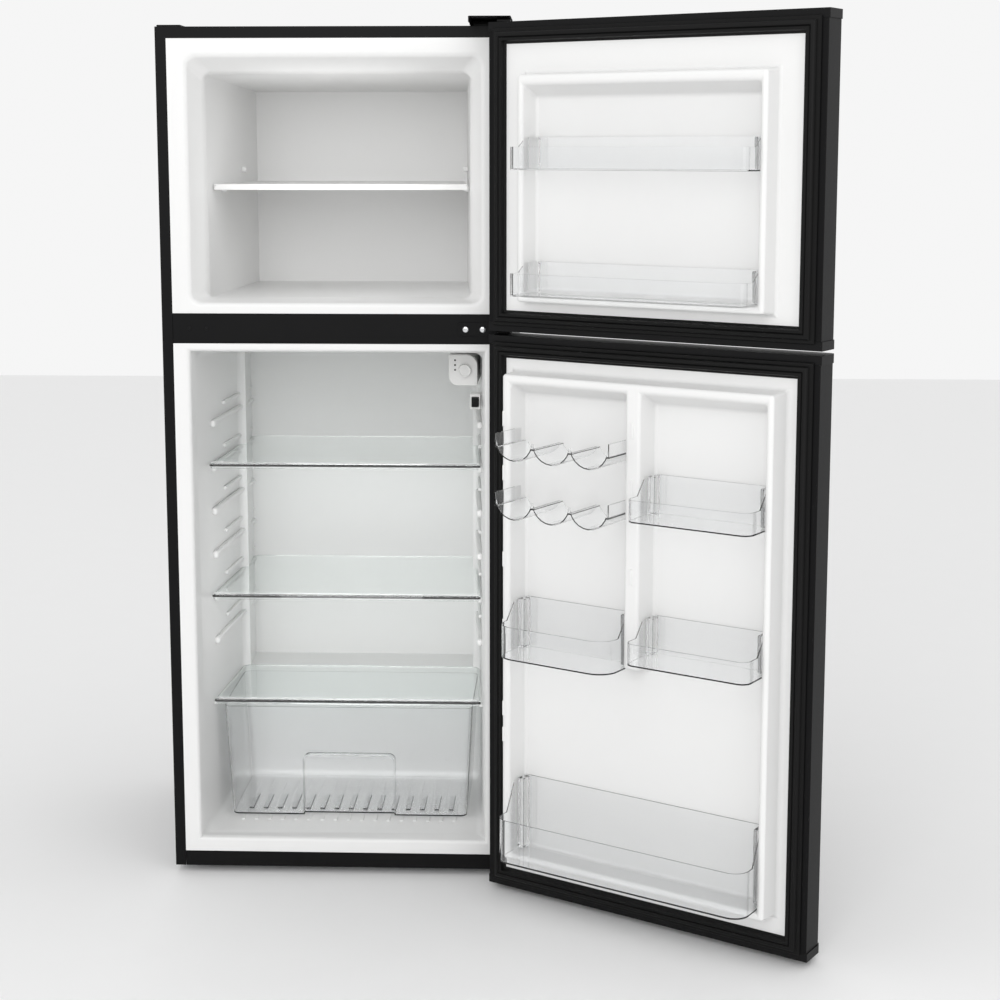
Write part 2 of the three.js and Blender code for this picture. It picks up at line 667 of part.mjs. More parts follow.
// Tub with drafted walls: a plan outline that widens as it rises.
function tub(inset, low, high) {
  const shape = roundedShape(-drawerTopHalf + inset, drawerTopHalf - inset,
    drawerFront + inset, drawerBack - inset, drawerCorner - inset);
  const geometry = extrude(shape, 1, 4);
  const spots = geometry.attributes.position;
  const centre = (drawerFront + drawerBack) / 2;
  for (let i = 0; i < spots.count; i += 1) {
    const z = low + spots.getZ(i) * (high - low);
    const t = (drawerTop - z) / (drawerTop - drawerBottom);
    const squeeze = 1 - t * (1 - drawerBottomHalf / drawerTopHalf);
    spots.setXYZ(i, spots.getX(i) * squeeze, centre + (spots.getY(i) - centre) * (1 - t * drawerTaper), z);
  }
  return toSolid(geometry);
}
function gripBlock(grow) {
  const arch = roundedShape(-gripHalf - grow, gripHalf + grow, drawerBottom - 20, gripTop + grow,
    [0, 0, gripCorner, gripCorner]);
  return depthwise(arch, drawerFront - 20, drawerFront + gripDepth + grow);
}
piece('crisper_drawer', cut(
  cut(tub(0, drawerBottom, drawerTop), gripBlock(0)),
  cut(tub(drawerWall, drawerBottom + drawerWall, drawerTop + past), gripBlock(drawerWall)),
), clearPlastic);

// ---- thermostat, lamp and door switch -----------------------------------------
const boxFrontDepth = 104;
const boxRearDepth = 230;
const boxWidth = 50;
const boxDepths = deep(boxFrontDepth, boxRearDepth);
const boxSide = wallHalf(fridgeSections, boxRearDepth) - fit;
const boxX = [boxSide - boxWidth, boxSide];
const boxZ = [midRailBottom - 84, midRailBottom - 29];
const boxCorners = [16, 2, linerCorner + 2, 2];
const knobSpot = [boxX[0] + 28, boxDepths[0], boxZ[0] + 27];
const knobRadius = 12;
const knobProud = 9;
const lensX = [boxX[0] + 8, boxX[1] - 10];
const lensY = [boxDepths[0] + 40, boxDepths[1] - 16];
const lensThickness = 8;
piece('thermostat_housing', cut(
  depthwise(roundedShape(...boxX, ...boxZ, boxCorners), ...boxDepths),
  block(lensX, lensY, [boxZ[0] - past, boxZ[1] - lensThickness]),
), partWhite);
piece('thermostat_knob', cylinder(knobRadius, [knobSpot[0], knobSpot[1] - knobProud, knobSpot[2]],
  [knobSpot[0], knobSpot[1] - fit, knobSpot[2]], 24), partWhite);
piece('lamp_lens', block(inset(lensX, fit), inset(lensY, fit), [boxZ[0] + fit, boxZ[0] + lensThickness]),
  clearPlastic);
const switchBody = { half: 9, halfHeight: 13, rear: 4 };
const plunger = { half: 6, halfHeight: 8, proud: 10, sunk: 18 };
const switchZ = boxZ[0] - 22;
const switchRearDepth = 92;
const switchX = wallHalf(fridgeSections, switchRearDepth) - switchBody.half - 1.1;
const switchDepths = deep(56, switchRearDepth);
const around = (middle, half) => [middle - half, middle + half];
piece('door_switch_body', cut(
  block(around(switchX, switchBody.half), switchDepths, around(switchZ, switchBody.halfHeight)),
  block(around(switchX, plunger.half + fit), [switchDepths[0] - past, switchDepths[1] - switchBody.rear],
    around(switchZ, plunger.halfHeight + fit)),
), partWhite);
const plungerDepths = [switchDepths[0] - plunger.proud, switchDepths[0] + plunger.sunk];
piece('door_switch_plunger', block(
  around(switchX, plunger.half), plungerDepths, around(switchZ, plunger.halfHeight)), blackPlastic);

// ---- doors ----------------------------------------------------------------------
// Drawn closed: u runs from the hinge side to the free side, off from the inner face
// towards the cabinet. Both are turned about the hinge pins at the end.
const fromHinge = ([u0, u1]) => [doorHalf - u1, doorHalf - u0];
const off = ([o0, o1]) => [innerFace + o0, innerFace + o1];
const doorBlock = (u, o, z) => block(fromHinge(u), off(o), z);
const skinSheet = 1;
const skinReturn = 12;
const skinCorner = 9;
const pinHole = (z0, z1) => pin(z0, z1, fit);

function doorOutline(grow, corner) {
  const corners = [corner, corner, 1, 1];
  return roundedShape(-doorHalf - grow, doorHalf + grow, outerFace - grow, innerFace, corners);
}

function doorSkin(z0, z1) {
  const inner = roundedShape(-doorHalf + skinSheet, doorHalf - skinSheet, outerFace + skinSheet,
    innerFace - skinSheet, [skinCorner - skinSheet, skinCorner - skinSheet, 0, 0]);
  return cut(
    upright(doorOutline(0, skinCorner), z0, z1),
    upright(inner, z0 - past, z1 + past),
    block([-doorHalf + skinReturn, doorHalf - skinReturn], [innerFace - 2 * skinSheet, innerFace + past],
      [z0 - past, z1 + past]),
  );
}

// Frame of four walls around the liner field; narrows towards its crown.
function rimSolid(field, height, lean) {
  const shape = roundedShape(field.u[0], field.u[1], field.z[0], field.z[1], field.corner);
  const geometry = extrude(shape, 1, 4);
  const spots = geometry.attributes.position;
  const cu = (field.u[0] + field.u[1]) / 2;
  const cz = (field.z[0] + field.z[1]) / 2;
  const su = 1 - (2 * lean) / (field.u[1] - field.u[0]);
  const sz = 1 - (2 * lean) / (field.z[1] - field.z[0]);
  for (let i = 0; i < spots.count; i += 1) {
    const t = spots.getZ(i);
    const u = cu + (spots.getX(i) - cu) * (1 + t * (su - 1));
    const z = cz + (spots.getY(i) - cz) * (1 + t * (sz - 1));
    spots.setXYZ(i, doorHalf - u, innerFace + t * height, z);
  }
  return toSolid(geometry);
}

// Tray that hangs on the door: open top, low front, ends that rise towards the door.
const hangGap = 2 * fit + linerWall;
const endSlope = [0.32, 0.6]; // where the ends start and stop falling, as shares of the reach
function doorBin({ u, reach, z0, frontTop, rearTop, corner = 16, wall = 2 }) {
  const plan = (grow) => roundedShape(doorHalf - u[1] + grow, doorHalf - u[0] - grow,
    innerFace + hangGap + grow, innerFace + reach - grow,
    [2, 2, Math.max(corner - grow, 1), Math.max(corner - grow, 1)]);
  const slope = new THREE.Shape();
  slope.moveTo(innerFace + reach + past, frontTop);
  slope.lineTo(innerFace + reach * endSlope[1], frontTop);
  slope.lineTo(innerFace + reach * endSlope[0], rearTop + past);
  slope.lineTo(innerFace + reach + past, rearTop + past);
  slope.closePath();
  return cut(
    upright(plan(0), z0, rearTop, 4),
    upright(plan(wall), z0 + wall, rearTop + past, 4),
    crosswise(slope, doorHalf - u[1] - past, doorHalf - u[0] + past),
  );
}

// Rack whose floor is a row of half-round cradles for cans or bottles lying down.
const cradleShare = 0.62; // depth of a cradle as a share of its radius
const endRise = 12;
function cradleRack({ u, reach, lowest, cradles, wall = 2, lip = 9 }) {
  const pitch = (u[1] - u[0] - 2 * wall) / cradles;
  const radius = pitch / 2 - wall / 2;
  const crest = lowest + radius * cradleShare;
  const top = crest + lip + endRise;
  const span = [doorHalf - u[1], doorHalf - u[0]];
  const hollow = (grow) => Array.from({ length: cradles }, (_, i) => {
    const x = span[0] + wall + pitch * (i + 0.5);
    const beyond = grow ? 0 : past;
    return cylinder(radius + grow, [x, innerFace + hangGap - beyond, lowest + radius],
      [x, innerFace + reach + beyond, lowest + radius], 24);
  });
  const body = join(
    block(span, [innerFace + hangGap, innerFace + reach], [crest - wall, crest]),
    ...hollow(wall).map((solid) => solid.intersect(
      block(fullWidth, [innerFace, innerFace + reach], [lowest - wall - past, crest]))),
  );
  const frontLip = join(
    block(span, [innerFace + reach - wall, innerFace + reach], [crest - wall, crest + lip]),
  );
  const ends = [span[0], span[1] - wall].map((x) =>
    block([x, x + wall], [innerFace + hangGap, innerFace + reach], [crest - wall, top]));
  return join(cut(body, ...hollow(0)), cut(frontLip, ...hollow(0)), ...ends);
}

function sealRing(z0, z1) {
  const ring = (inset, grow = 0) => [
    [sealOuterInset + inset - grow, doorWidth - sealOuterInset - inset + grow],
    [z0 + sealOuterInset + inset - grow, z1 - sealOuterInset - inset + grow],
  ];
  const width = sealInnerInset - sealOuterInset;
  const [outerU, outerZ] = ring(0);
  const [innerU, innerZ] = ring(width);
  const [crownOuterU, crownOuterZ] = ring(7);
  const [crownInnerU, crownInnerZ] = ring(width - 5);
  const footHigh = 5;
  const base = cut(doorBlock(outerU, [linerWall + fit, footHigh], outerZ),
    doorBlock(innerU, [0, sealGap], innerZ));
  const crown = cut(doorBlock(crownOuterU, [footHigh - past, sealGap - fit], crownOuterZ),
    doorBlock(crownInnerU, [0, sealGap], crownInnerZ));
  return join(base, crown);
}

function door({ prefix, z0, z1, linerSolid, topHole, lowHole }) {
  const skinZ = [z0 + capHeight + fit, z1 - capHeight - fit];
  piece(`${prefix}_skin`, doorSkin(...skinZ), blackSteel);
  const capOutline = doorOutline(capProud, skinCorner + capProud);
  piece(`${prefix}_top_cap`, cut(upright(capOutline, z1 - capHeight, z1), pinHole(...topHole)), blackPlastic);
  piece(`${prefix}_bottom_cap`, cut(upright(capOutline, z0, z0 + capHeight), pinHole(...lowHole)), blackPlastic);
  const inside = skinSheet + fit;
  const foamCorner = skinCorner - skinSheet;
  const foamOutline = roundedShape(-doorHalf + inside, doorHalf - inside, outerFace + inside, innerFace - inside,
    [foamCorner, foamCorner, 0, 0]);
  piece(`${prefix}_foam`, upright(foamOutline, skinZ[0] + fit, skinZ[1] - fit), foamCream);
  piece(`${prefix}_liner`, linerSolid, linerWhite);
  piece(`${prefix}_seal`, sealRing(z0, z1), sealRubber);
}

const turn = new THREE.Matrix4()
  .makeTranslation(pivotX, pivotY, 0)
  .multiply(new THREE.Matrix4().makeRotationZ(THREE.MathUtils.degToRad(openAngle)))
  .multiply(new THREE.Matrix4().makeTranslation(-pivotX, -pivotY, 0));
swing = turn;

const fieldInset = skinReturn + fit;
const linerPlate = (z0, z1) => doorBlock([fieldInset, doorWidth - fieldInset], [-skinSheet, linerWall],
  [z0 + capHeight + fit, z1 - capHeight - fit]);
const shrink = (field, by, top = by) => ({
  u: [field.u[0] + by, field.u[1] - by],
  z: [field.z[0] + by, field.z[1] - top],
  corner: Math.max(field.corner - by, 3),
});

// Freezer door: one field with a narrow raised rim.
const freezerField = {
  u: [75, doorWidth - 75],
  z: [freezerDoorBottom + 51, freezerDoorTop - 84],
  corner: 10,
};
const rimLean = 2;
const pocketLean = -5;
const freezerRim = cut(
  rimSolid(freezerField, freezerRimHeight, rimLean),
  rimSolid(shrink(freezerField, 13, 17), freezerRimHeight + past, pocketLean),
);
door({
  prefix: 'freezer_door', z0: freezerDoorBottom, z1: freezerDoorTop,
  linerSolid: join(linerPlate(freezerDoorBottom, freezerDoorTop), freezerRim),
  topHole: [freezerDoorTop - capHeight - past, freezerDoorTop + past],
  lowHole: [freezerDoorBottom - past, freezerDoorBottom + capHeight + past],
});
const freezerBinSpan = inset(freezerField.u, 14);
const freezerBinRises = [['upper', 266.5], ['lower', 66.5]];
for (const [level, rise] of freezerBinRises) {
  const z = freezerDoorBottom + rise;
  piece(`freezer_door_bin_${level}`, doorBin({
    u: freezerBinSpan, reach: 84, z0: z, frontTop: z + 36, rearTop: z + 52,
  }), clearPlastic);
}

// Fridge door: a taller rim and an upright divider that ends above the wide lower bins.
const fridgeField = {
  u: [52, doorWidth - 52],
  z: [fridgeDoorBottom + 66, fridgeDoorTop - 55],
  corner: 16,
};
const doorLevel = (share) => fridgeDoorBottom + share * (fridgeDoorTop - fridgeDoorBottom);
const dividerU = [0.482 * doorWidth, 0.526 * doorWidth];
const dividerBottom = doorLevel(0.457);
const hollowSides = shrink(fridgeField, 14, 17);
const hingeWall = hollowSides.u[0] + 4;
const upperSpan = [dividerBottom, hollowSides.z[1]];
const lowerSpan = [hollowSides.z[0], dividerBottom + 30];
const leftHollow = { ...hollowSides, u: [hingeWall, dividerU[0]], z: upperSpan };
const rightHollow = { ...hollowSides, u: [dividerU[1], hollowSides.u[1]], z: upperSpan };
const lowHollow = { ...hollowSides, u: [hingeWall, hollowSides.u[1]], z: lowerSpan };
const fridgeRim = cut(
  rimSolid(fridgeField, rimHeight, rimLean + 1),
  rimSolid(leftHollow, rimHeight + past, pocketLean),
  rimSolid(rightHollow, rimHeight + past, pocketLean),
  rimSolid(lowHollow, rimHeight + past, pocketLean),
);
door({
  prefix: 'fridge_door', z0: fridgeDoorBottom, z1: fridgeDoorTop,
  linerSolid: join(linerPlate(fridgeDoorBottom, fridgeDoorTop), fridgeRim),
  topHole: [fridgeDoorTop - capHeight - past, fridgeDoorTop + past],
  lowHole: [fridgeDoorBottom - past, fridgeDoorBottom + capHeight + past],
});
const binGap = 1.5;
const binReach = shelfFrontDepth + sealGap - 6;
const deepReach = shelfFrontDepth + sealGap - 3;
const leftSpan = inset(leftHollow.u, binGap);
const rightSpan = inset(rightHollow.u, binGap);
const wideSpan = inset(lowHollow.u, binGap);
for (const [level, z] of [['upper', doorLevel(0.801)], ['lower', doorLevel(0.7)]]) {
  const rack = cradleRack({ u: leftSpan, reach: binReach, lowest: z, cradles: 3 });
  piece(`can_rack_${level}`, rack, clearPlastic);
}
for (const [level, z] of [['upper', doorLevel(0.719)], ['lower', doorLevel(0.479)]]) {
  piece(`door_bin_right_${level}`, doorBin({
    u: rightSpan, reach: binReach, z0: z, frontTop: z + 36, rearTop: z + 64,
  }), clearPlastic);
}
const bulgedBase = doorLevel(0.454);
piece('door_bin_left', doorBin({
  u: leftSpan,
  reach: deepReach,
  z0: bulgedBase,
  frontTop: bulgedBase + 55,
  rearTop: bulgedBase + 87,
  corner: 34,
}), clearPlastic);
const bottleBase = fridgeDoorBottom + 84;
piece('door_bin_bottom', doorBin({
  u: wideSpan,
  reach: deepReach,
  z0: bottleBase,
  frontTop: bottleBase + 74,
  rearTop: bottleBase + 126,
  corner: 26,
}), clearPlastic);
swing = null;

export default fridge;
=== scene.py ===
# Top freezer refrigerator, dressed for the studio. Metres throughout: X to the right,
# Y towards the back, Z up, floor at zero. Both doors stand open at rest.
import json
import math

import bmesh
import bpy
from mathutils import Matrix, Vector

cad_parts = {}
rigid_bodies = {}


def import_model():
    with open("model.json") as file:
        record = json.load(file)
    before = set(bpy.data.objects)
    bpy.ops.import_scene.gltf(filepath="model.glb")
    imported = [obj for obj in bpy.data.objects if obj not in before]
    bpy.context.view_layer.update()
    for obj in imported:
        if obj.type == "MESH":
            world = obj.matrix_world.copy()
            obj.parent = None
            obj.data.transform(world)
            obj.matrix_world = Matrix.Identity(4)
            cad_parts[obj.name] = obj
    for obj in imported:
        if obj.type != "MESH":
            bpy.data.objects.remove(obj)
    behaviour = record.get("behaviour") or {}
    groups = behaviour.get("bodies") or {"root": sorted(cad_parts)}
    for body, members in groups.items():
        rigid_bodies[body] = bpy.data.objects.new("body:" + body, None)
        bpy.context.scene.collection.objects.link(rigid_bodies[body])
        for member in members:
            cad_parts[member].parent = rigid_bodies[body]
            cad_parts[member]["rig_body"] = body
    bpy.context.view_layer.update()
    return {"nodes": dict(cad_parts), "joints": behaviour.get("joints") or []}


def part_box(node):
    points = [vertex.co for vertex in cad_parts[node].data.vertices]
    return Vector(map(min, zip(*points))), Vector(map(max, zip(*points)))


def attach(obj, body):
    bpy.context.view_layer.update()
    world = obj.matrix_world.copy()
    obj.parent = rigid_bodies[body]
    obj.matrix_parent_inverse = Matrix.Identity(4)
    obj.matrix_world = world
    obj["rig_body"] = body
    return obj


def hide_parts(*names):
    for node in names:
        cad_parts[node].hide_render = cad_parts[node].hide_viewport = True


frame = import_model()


# ---- studio ------------------------------------------------------------------------
# A pale painted floor under large soft lamps, with an even white room around it.
# The camera looks down a little from the level of the freezer.
class Wire:
    """A value on its way through a finish, so that sums can be written as sums."""

    def __init__(self, finish, socket):
        self.finish = finish
        self.socket = socket

    def sum(self, operation, first, second):
        return self.finish.node("ShaderNodeMath", {"operation": operation}, {0: first, 1: second})

    def __add__(self, other):
        return self.sum("ADD", self, other)

    def __mul__(self, other):
        return self.sum("MULTIPLY", self, other)

    __radd__ = __add__
    __rmul__ = __mul__


class Finish:
    """A paint, plastic or metal under construction."""

    def __init__(self, name):
        self.material = bpy.data.materials.new(name)
        self.material.use_nodes = True
        self.tree = self.material.node_tree
        self.tree.nodes.clear()
        self.place = self.node("ShaderNodeTexCoord", output="Object")

    def node(self, kind, settings=None, inputs=None, output=0):
        made = self.tree.nodes.new(kind)
        for name, value in (settings or {}).items():
            setattr(made, name, value)
        for name, value in (inputs or {}).items():
            self.join(value, made.inputs[name])
        return Wire(self, made.outputs[output])

    def join(self, value, socket):
        if isinstance(value, Wire):
            self.tree.links.new(value.socket, socket)
        else:
            socket.default_value = value

    def clouds(self, size, detail=2.0):
        """Soft random patches of about this size, from 0 to 1."""
        return self.node("ShaderNodeTexNoise", None,
                         {"Vector": self.place, "Scale": 1 / size, "Detail": detail})

    def blend(self, share, first, second):
        """Colour between the first, at a share of 0, and the second, at 1."""
        return self.node("ShaderNodeMix", {"data_type": "RGBA"},
                         {0: share, 6: (*first, 1.0), 7: (*second, 1.0)}, output=2)

    def relief(self, height, depth):
        return self.node("ShaderNodeBump", None, {"Height": height, "Distance": depth}, output="Normal")

    def surface(self, **inputs):
        named = {name.replace("_", " ").title().replace("Ior", "IOR"): value
                 for name, value in inputs.items()}
        return self.node("ShaderNodeBsdfPrincipled", None, named)

    def done(self, shader):
        end = self.tree.nodes.new("ShaderNodeOutputMaterial")
        self.join(shader, end.inputs["Surface"])
        return self.material


def shaded(colour, share):
    return tuple(min(part * share, 1.0) for part in colour)


cloud_size = 0.09
cloud_detail = 3.0
cloud_share = 0.6


def coated(name, colour, spread, roughness, rough_spread, grain, depth, **constants):
    """One-colour finish: faint clouds in the colour, a fine grain in the gloss and the surface."""
    finish = Finish(name)
    grains = finish.clouds(grain)
    patches = finish.clouds(cloud_size, cloud_detail) * cloud_share + grains * (1 - cloud_share)
    colouring = finish.blend(patches, shaded(colour, 1 - spread), shaded(colour, 1 + spread))
    return finish.done(finish.surface(
        base_color=colouring, roughness=patches * rough_spread + (roughness - rough_spread / 2),
        normal=finish.relief(grains, depth), **constants))


floor_size = 14.0
floor_paint = coated(
    "pale_floor_paint", colour=(0.86, 0.86, 0.86), spread=0.012,
    roughness=0.6, rough_spread=0.1, grain=0.004, depth=0.0001)
floor_shape = bmesh.new()
bmesh.ops.create_grid(floor_shape, x_segments=2, y_segments=2, size=floor_size / 2)
floor_mesh = bpy.data.meshes.new("studio_floor")
floor_shape.to_mesh(floor_mesh)
floor_shape.free()
floor_mesh.materials.append(floor_paint)
studio_floor = bpy.data.objects.new("studio_floor", floor_mesh)
bpy.context.scene.collection.objects.link(studio_floor)

room_white = 0.92
room = bpy.data.worlds.new("white_room")
room.use_nodes = True
room.node_tree.nodes["Background"].inputs["Color"].default_value = (1.0, 1.0, 1.0, 1.0)
room.node_tree.nodes["Background"].inputs["Strength"].default_value = room_white
bpy.context.scene.world = room
bpy.context.scene.view_settings.view_transform = "Standard"


def soft_lamp(name, place, aim, width, power):
    lamp = bpy.data.lights.new(name, "AREA")
    lamp.shape = "SQUARE"
    lamp.size = width
    lamp.energy = power
    holder = bpy.data.objects.new(name, lamp)
    holder.location = place
    holder.rotation_euler = (Vector(aim) - Vector(place)).to_track_quat("-Z", "Y").to_euler()
    bpy.context.scene.collection.objects.link(holder)


soft_lamp("key_lamp", place=(-0.3, -4.2, 2.5), aim=(-0.1, 0.0, 0.8), width=2.0, power=46)
soft_lamp("fill_lamp", place=(2.6, -3.2, 1.6), aim=(0.3, -0.3, 0.7), width=2.0, power=11)

# Two weak panels in the mouths of the compartments lift the shade inside them.
mouth_panel = 0.26
mouth_power = {"freezer_liner": 0.24, "fridge_liner": 0.34}
for lining, power in mouth_power.items():
    low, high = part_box(lining)
    height = (low.z + high.z) / 2
    soft_lamp(lining + "_lamp", (0.0, low.y, height), (0.0, high.y, height), mouth_panel, power)

camera_place = (0.3952, -3.3989, 1.2731)
camera_turn = math.radians(2.13)
camera_dip = math.radians(8.28)
film_width = 36.0
lens_length = 67.21
lens_shift = -0.08
viewer = bpy.data.cameras.new("studio_camera")
viewer.lens = lens_length
viewer.sensor_width = film_width
viewer.shift_y = lens_shift
camera = bpy.data.objects.new("studio_camera", viewer)
camera.location = camera_place
camera.rotation_euler = (math.pi / 2 - camera_dip, 0.0, camera_turn)
bpy.context.scene.collection.objects.link(camera)
bpy.context.scene.camera = camera


# ---- cabinet wrap and rails --------------------------------------------------------
# The outer case is one folded sheet of pre-painted steel with a fine leather grain;
# the rails between and below the compartments are separate strips clipped into it.
black_steel = coated(
    "grained_black_steel", colour=(0.0055, 0.0055, 0.0058), spread=0.18,
    roughness=0.40, rough_spread=0.08, grain=0.0011, depth=0.00012, specular_ior_level=0.10)
sheet_fold = 0.0006
round_limit = math.radians(32)
flat_limit = 0.012
weld_distance = 0.00001


def finished(shape, name, material, body, stands_for=(), sharp=round_limit):
    """Turns a shape into a piece that rides on its body."""
    for face in shape.faces:
        face.smooth = True
    for edge in shape.edges:
        edge.smooth = not (edge.is_manifold and edge.calc_face_angle() > sharp)
    mesh = bpy.data.meshes.new(name)
    shape.to_mesh(mesh)
    shape.free()
    mesh.materials.append(material)
    piece = bpy.data.objects.new(name, mesh)
    bpy.context.scene.collection.objects.link(piece)
    evened = piece.modifiers.new("even_shading", "WEIGHTED_NORMAL")
    evened.keep_sharp = True
    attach(piece, body)
    if stands_for:
        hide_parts(*stands_for)
    return piece


def round_edges(shape, edges, radius, segments=2):
    return bmesh.ops.bevel(shape, geom=edges, offset=radius, offset_type="OFFSET", segments=segments,
                           profile=0.5, affect="EDGES", clamp_overlap=True, material=-1)


def corners_of(shape, limit=round_limit):
    return [edge for edge in shape.edges if edge.is_manifold and edge.calc_face_angle() > limit]


def solid_of(node, flat=flat_limit):
    """The solid of a node with its flat faces whole."""
    shape = bmesh.new()
    shape.from_mesh(frame["nodes"][node].data)
    bmesh.ops.remove_doubles(shape, verts=shape.verts, dist=weld_distance)
    bmesh.ops.dissolve_limit(shape, angle_limit=flat, verts=shape.verts, edges=shape.edges)
    return shape


def softened(node, material, radius, segments=2, flat=flat_limit):
    """The solid of a node with its edges broken, as a press or a mould leaves them."""
    shape = solid_of(node, flat)
    if radius:
        round_edges(shape, corners_of(shape), radius, segments)
    body = frame["nodes"][node]["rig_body"]
    return finished(shape, node + "_made", material, body, (node,))


for node in ("cabinet_shell", "mid_rail", "base_rail"):
    softened(node, black_steel, sheet_fold)


# ---- compartment liners --------------------------------------------------------------
# Each compartment is one sheet of white polystyrene drawn into a mould, so every corner
# is a soft radius. Its flange lies behind the black frame and the foam holds it in place.
liner_white = coated(
    "drawn_white_polystyrene", colour=(0.81, 0.81, 0.805), spread=0.012,
    roughness=0.34, rough_spread=0.08, grain=0.0022, depth=0.00006, specular_ior_level=0.45)
liner_sheet = 0.0018
mould_radius = 0.016
step_radius = 0.010
deep_radius = 0.014
lip_radius = 0.006
sunk = 0.001
level_slack = 0.0004
first_inset = 0.0005
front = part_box("cabinet_shell")[0].y


def mould_face(shape, x, y, z, facing_back=False):
    """The first flat rectangle of a moulding; it faces the front or the back."""
    places = [(x[0], y, z[0]), (x[1], y, z[0]), (x[1], y, z[1]), (x[0], y, z[1])]
    corners = [shape.verts.new(place) for place in places]
    return shape.faces.new(corners[::-1] if facing_back else corners)


def draw_to(shape, face, x, y, z):
    """Insets the face and sets its corners on the next rectangle of the mould."""
    middle = face.calc_center_median()
    bmesh.ops.inset_individual(shape, faces=[face], thickness=first_inset, use_even_offset=True)
    for corner in face.verts:
        corner.co = Vector((x[corner.co.x > middle.x], y, z[corner.co.z > middle.z]))


def both(half):
    return (-half, half)


def ring_at(shape, y, limit=0.1):
    """Corner edges that lie in one plane across the depth."""
    return [edge for edge in corners_of(shape, limit)
            if all(abs(corner.co.y - y) < level_slack for corner in edge.verts)]


def half_width(y, near, far):
    """Half the clear width of a compartment at a depth between two rectangles of its mould."""
    share = (y - near["y"]) / (far["y"] - near["y"])
    return near["x"][1] + share * (far["x"][1] - near["x"][1])


def walled(piece, thickness):
    wall = piece.modifiers.new("wall", "SOLIDIFY")
    wall.thickness = thickness
    wall.offset = -1.0
    piece.modifiers.move(1, 0)
    return piece


def ledge(shape, x, y, z, radius, segments=3):
    """A rounded bar; x holds the two sides at the front and the two at the rear."""
    made = bmesh.ops.create_cube(shape, size=2.0)["verts"]
    for corner in made:
        at_rear = corner.co.y > 0
        corner.co = Vector((x[at_rear][corner.co.x > 0], y[at_rear], z[corner.co.z > 0]))
    edges = dict.fromkeys(edge for corner in made for edge in corner.link_edges)
    round_edges(shape, list(edges), radius, segments)


freezer_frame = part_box("freezer_liner")
freezer_mouth = dict(x=both(0.2487), z=(1.0127, 1.4256))
freezer_step = dict(x=both(0.2260), y=front + 0.045, z=(1.0190, 1.3980))
freezer_end = dict(x=both(0.2000), y=front + 0.420, z=(1.0210, 1.3790))
freezer = bmesh.new()
tray = mould_face(freezer, (freezer_frame[0].x, freezer_frame[1].x), front,
                  (freezer_frame[0].z, freezer_frame[1].z))
draw_to(freezer, tray, y=front, **freezer_mouth)
draw_to(freezer, tray, **freezer_step)
draw_to(freezer, tray, **freezer_end)
long_corners = [edge for edge in corners_of(freezer)
                if abs(edge.verts[0].co.y - edge.verts[1].co.y) > lip_radius]
round_edges(freezer, long_corners + ring_at(freezer, freezer_end["y"]), mould_radius, 6)
round_edges(freezer, ring_at(freezer, freezer_step["y"]), step_radius, 4)
round_edges(freezer, ring_at(freezer, front), lip_radius, 4)
shelf_low, shelf_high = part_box("freezer_shelf")
peg_half = 0.0055
peg_reach = 0.009
peg_height = 0.010
peg_edge = 0.003
peg_under = shelf_high.z - 0.0043 - peg_height
peg_over = shelf_high.z + 0.018
for depth, foot in ((0.150, peg_under), (0.330, peg_under), (0.300, peg_over)):
    station = front + depth
    wall = half_width(station, freezer_step, freezer_end)
    for side in (-1, 1):
        span = sorted((side * (wall - peg_reach), side * (wall + sunk)))
        ledge(freezer, [span] * 2, (station - peg_half, station + peg_half), (foot, foot + peg_height),
              peg_edge)
walled(finished(freezer, "freezer_lining", liner_white, "cabinet",
                ("freezer_liner", "evaporator_plate")), liner_sheet)

fridge_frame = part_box("fridge_liner")
fridge_mouth = dict(x=both(0.2526), z=(0.0630, 0.9308))
fridge_step = dict(x=both(0.2470), y=front + 0.030, z=(0.0660, 0.9260))
hump_front = dict(x=both(0.2286), y=front + 0.325, z=(0.0675, 0.9186))
fridge_end = dict(x=both(0.2220), y=front + 0.430, z=(0.2840, 0.9160))
hump_top = fridge_end["z"][0]
cold = bmesh.new()
tray = mould_face(cold, (fridge_frame[0].x, fridge_frame[1].x), front,
                  (fridge_frame[0].z, fridge_frame[1].z))
draw_to(cold, tray, y=front, **fridge_mouth)
draw_to(cold, tray, **fridge_step)
draw_to(cold, tray, **hump_front)
bmesh.ops.bisect_plane(cold, geom=[tray, *tray.edges, *tray.verts],
                       plane_co=(0, 0, hump_top), plane_no=(0, 0, 1))
hump_faces = [face for face in cold.faces
              if abs(face.calc_center_median().y - hump_front["y"]) < level_slack]
upper_end = max(hump_faces, key=lambda face: face.calc_center_median().z)
draw_to(cold, upper_end, **fridge_end)
deep_corners = [edge for edge in corners_of(cold)
                if max(corner.co.y for corner in edge.verts) > fridge_step["y"] + sunk]
round_edges(cold, deep_corners, deep_radius, 5)
round_edges(cold, ring_at(cold, front), lip_radius, 4)

runner_height = 0.008
runner_edge = 0.0035
runner_depths = (front + 0.124, front + 0.418)
nose_height = 0.013
nose_edge = 0.0044
nose_depths = (front + 0.112, front + 0.140)
runner_reach = 0.009
runner_pitch = 0.0791
runner_low = 0.399
runner_count = 6
guide_rise = 0.017
guide_height = 0.007
guide_reach = 0.0054
guide_edge = 0.0025
guide_depths = (front + 0.200, front + 0.418)
cover_ledge_reach = 0.006
cover_ledge_edge = 0.002
cover_ledge_depths = (front + 0.099, front + 0.326)


def wall_bar(shape, side, reach, y, z, radius):
    """A bar on one wall of the fridge compartment, following its taper."""
    spans = []
    for depth in y:
        wall = half_width(depth, fridge_step, fridge_end)
        spans.append(sorted((side * (wall - reach), side * (wall + sunk))))
    ledge(shape, spans, y, z, radius)


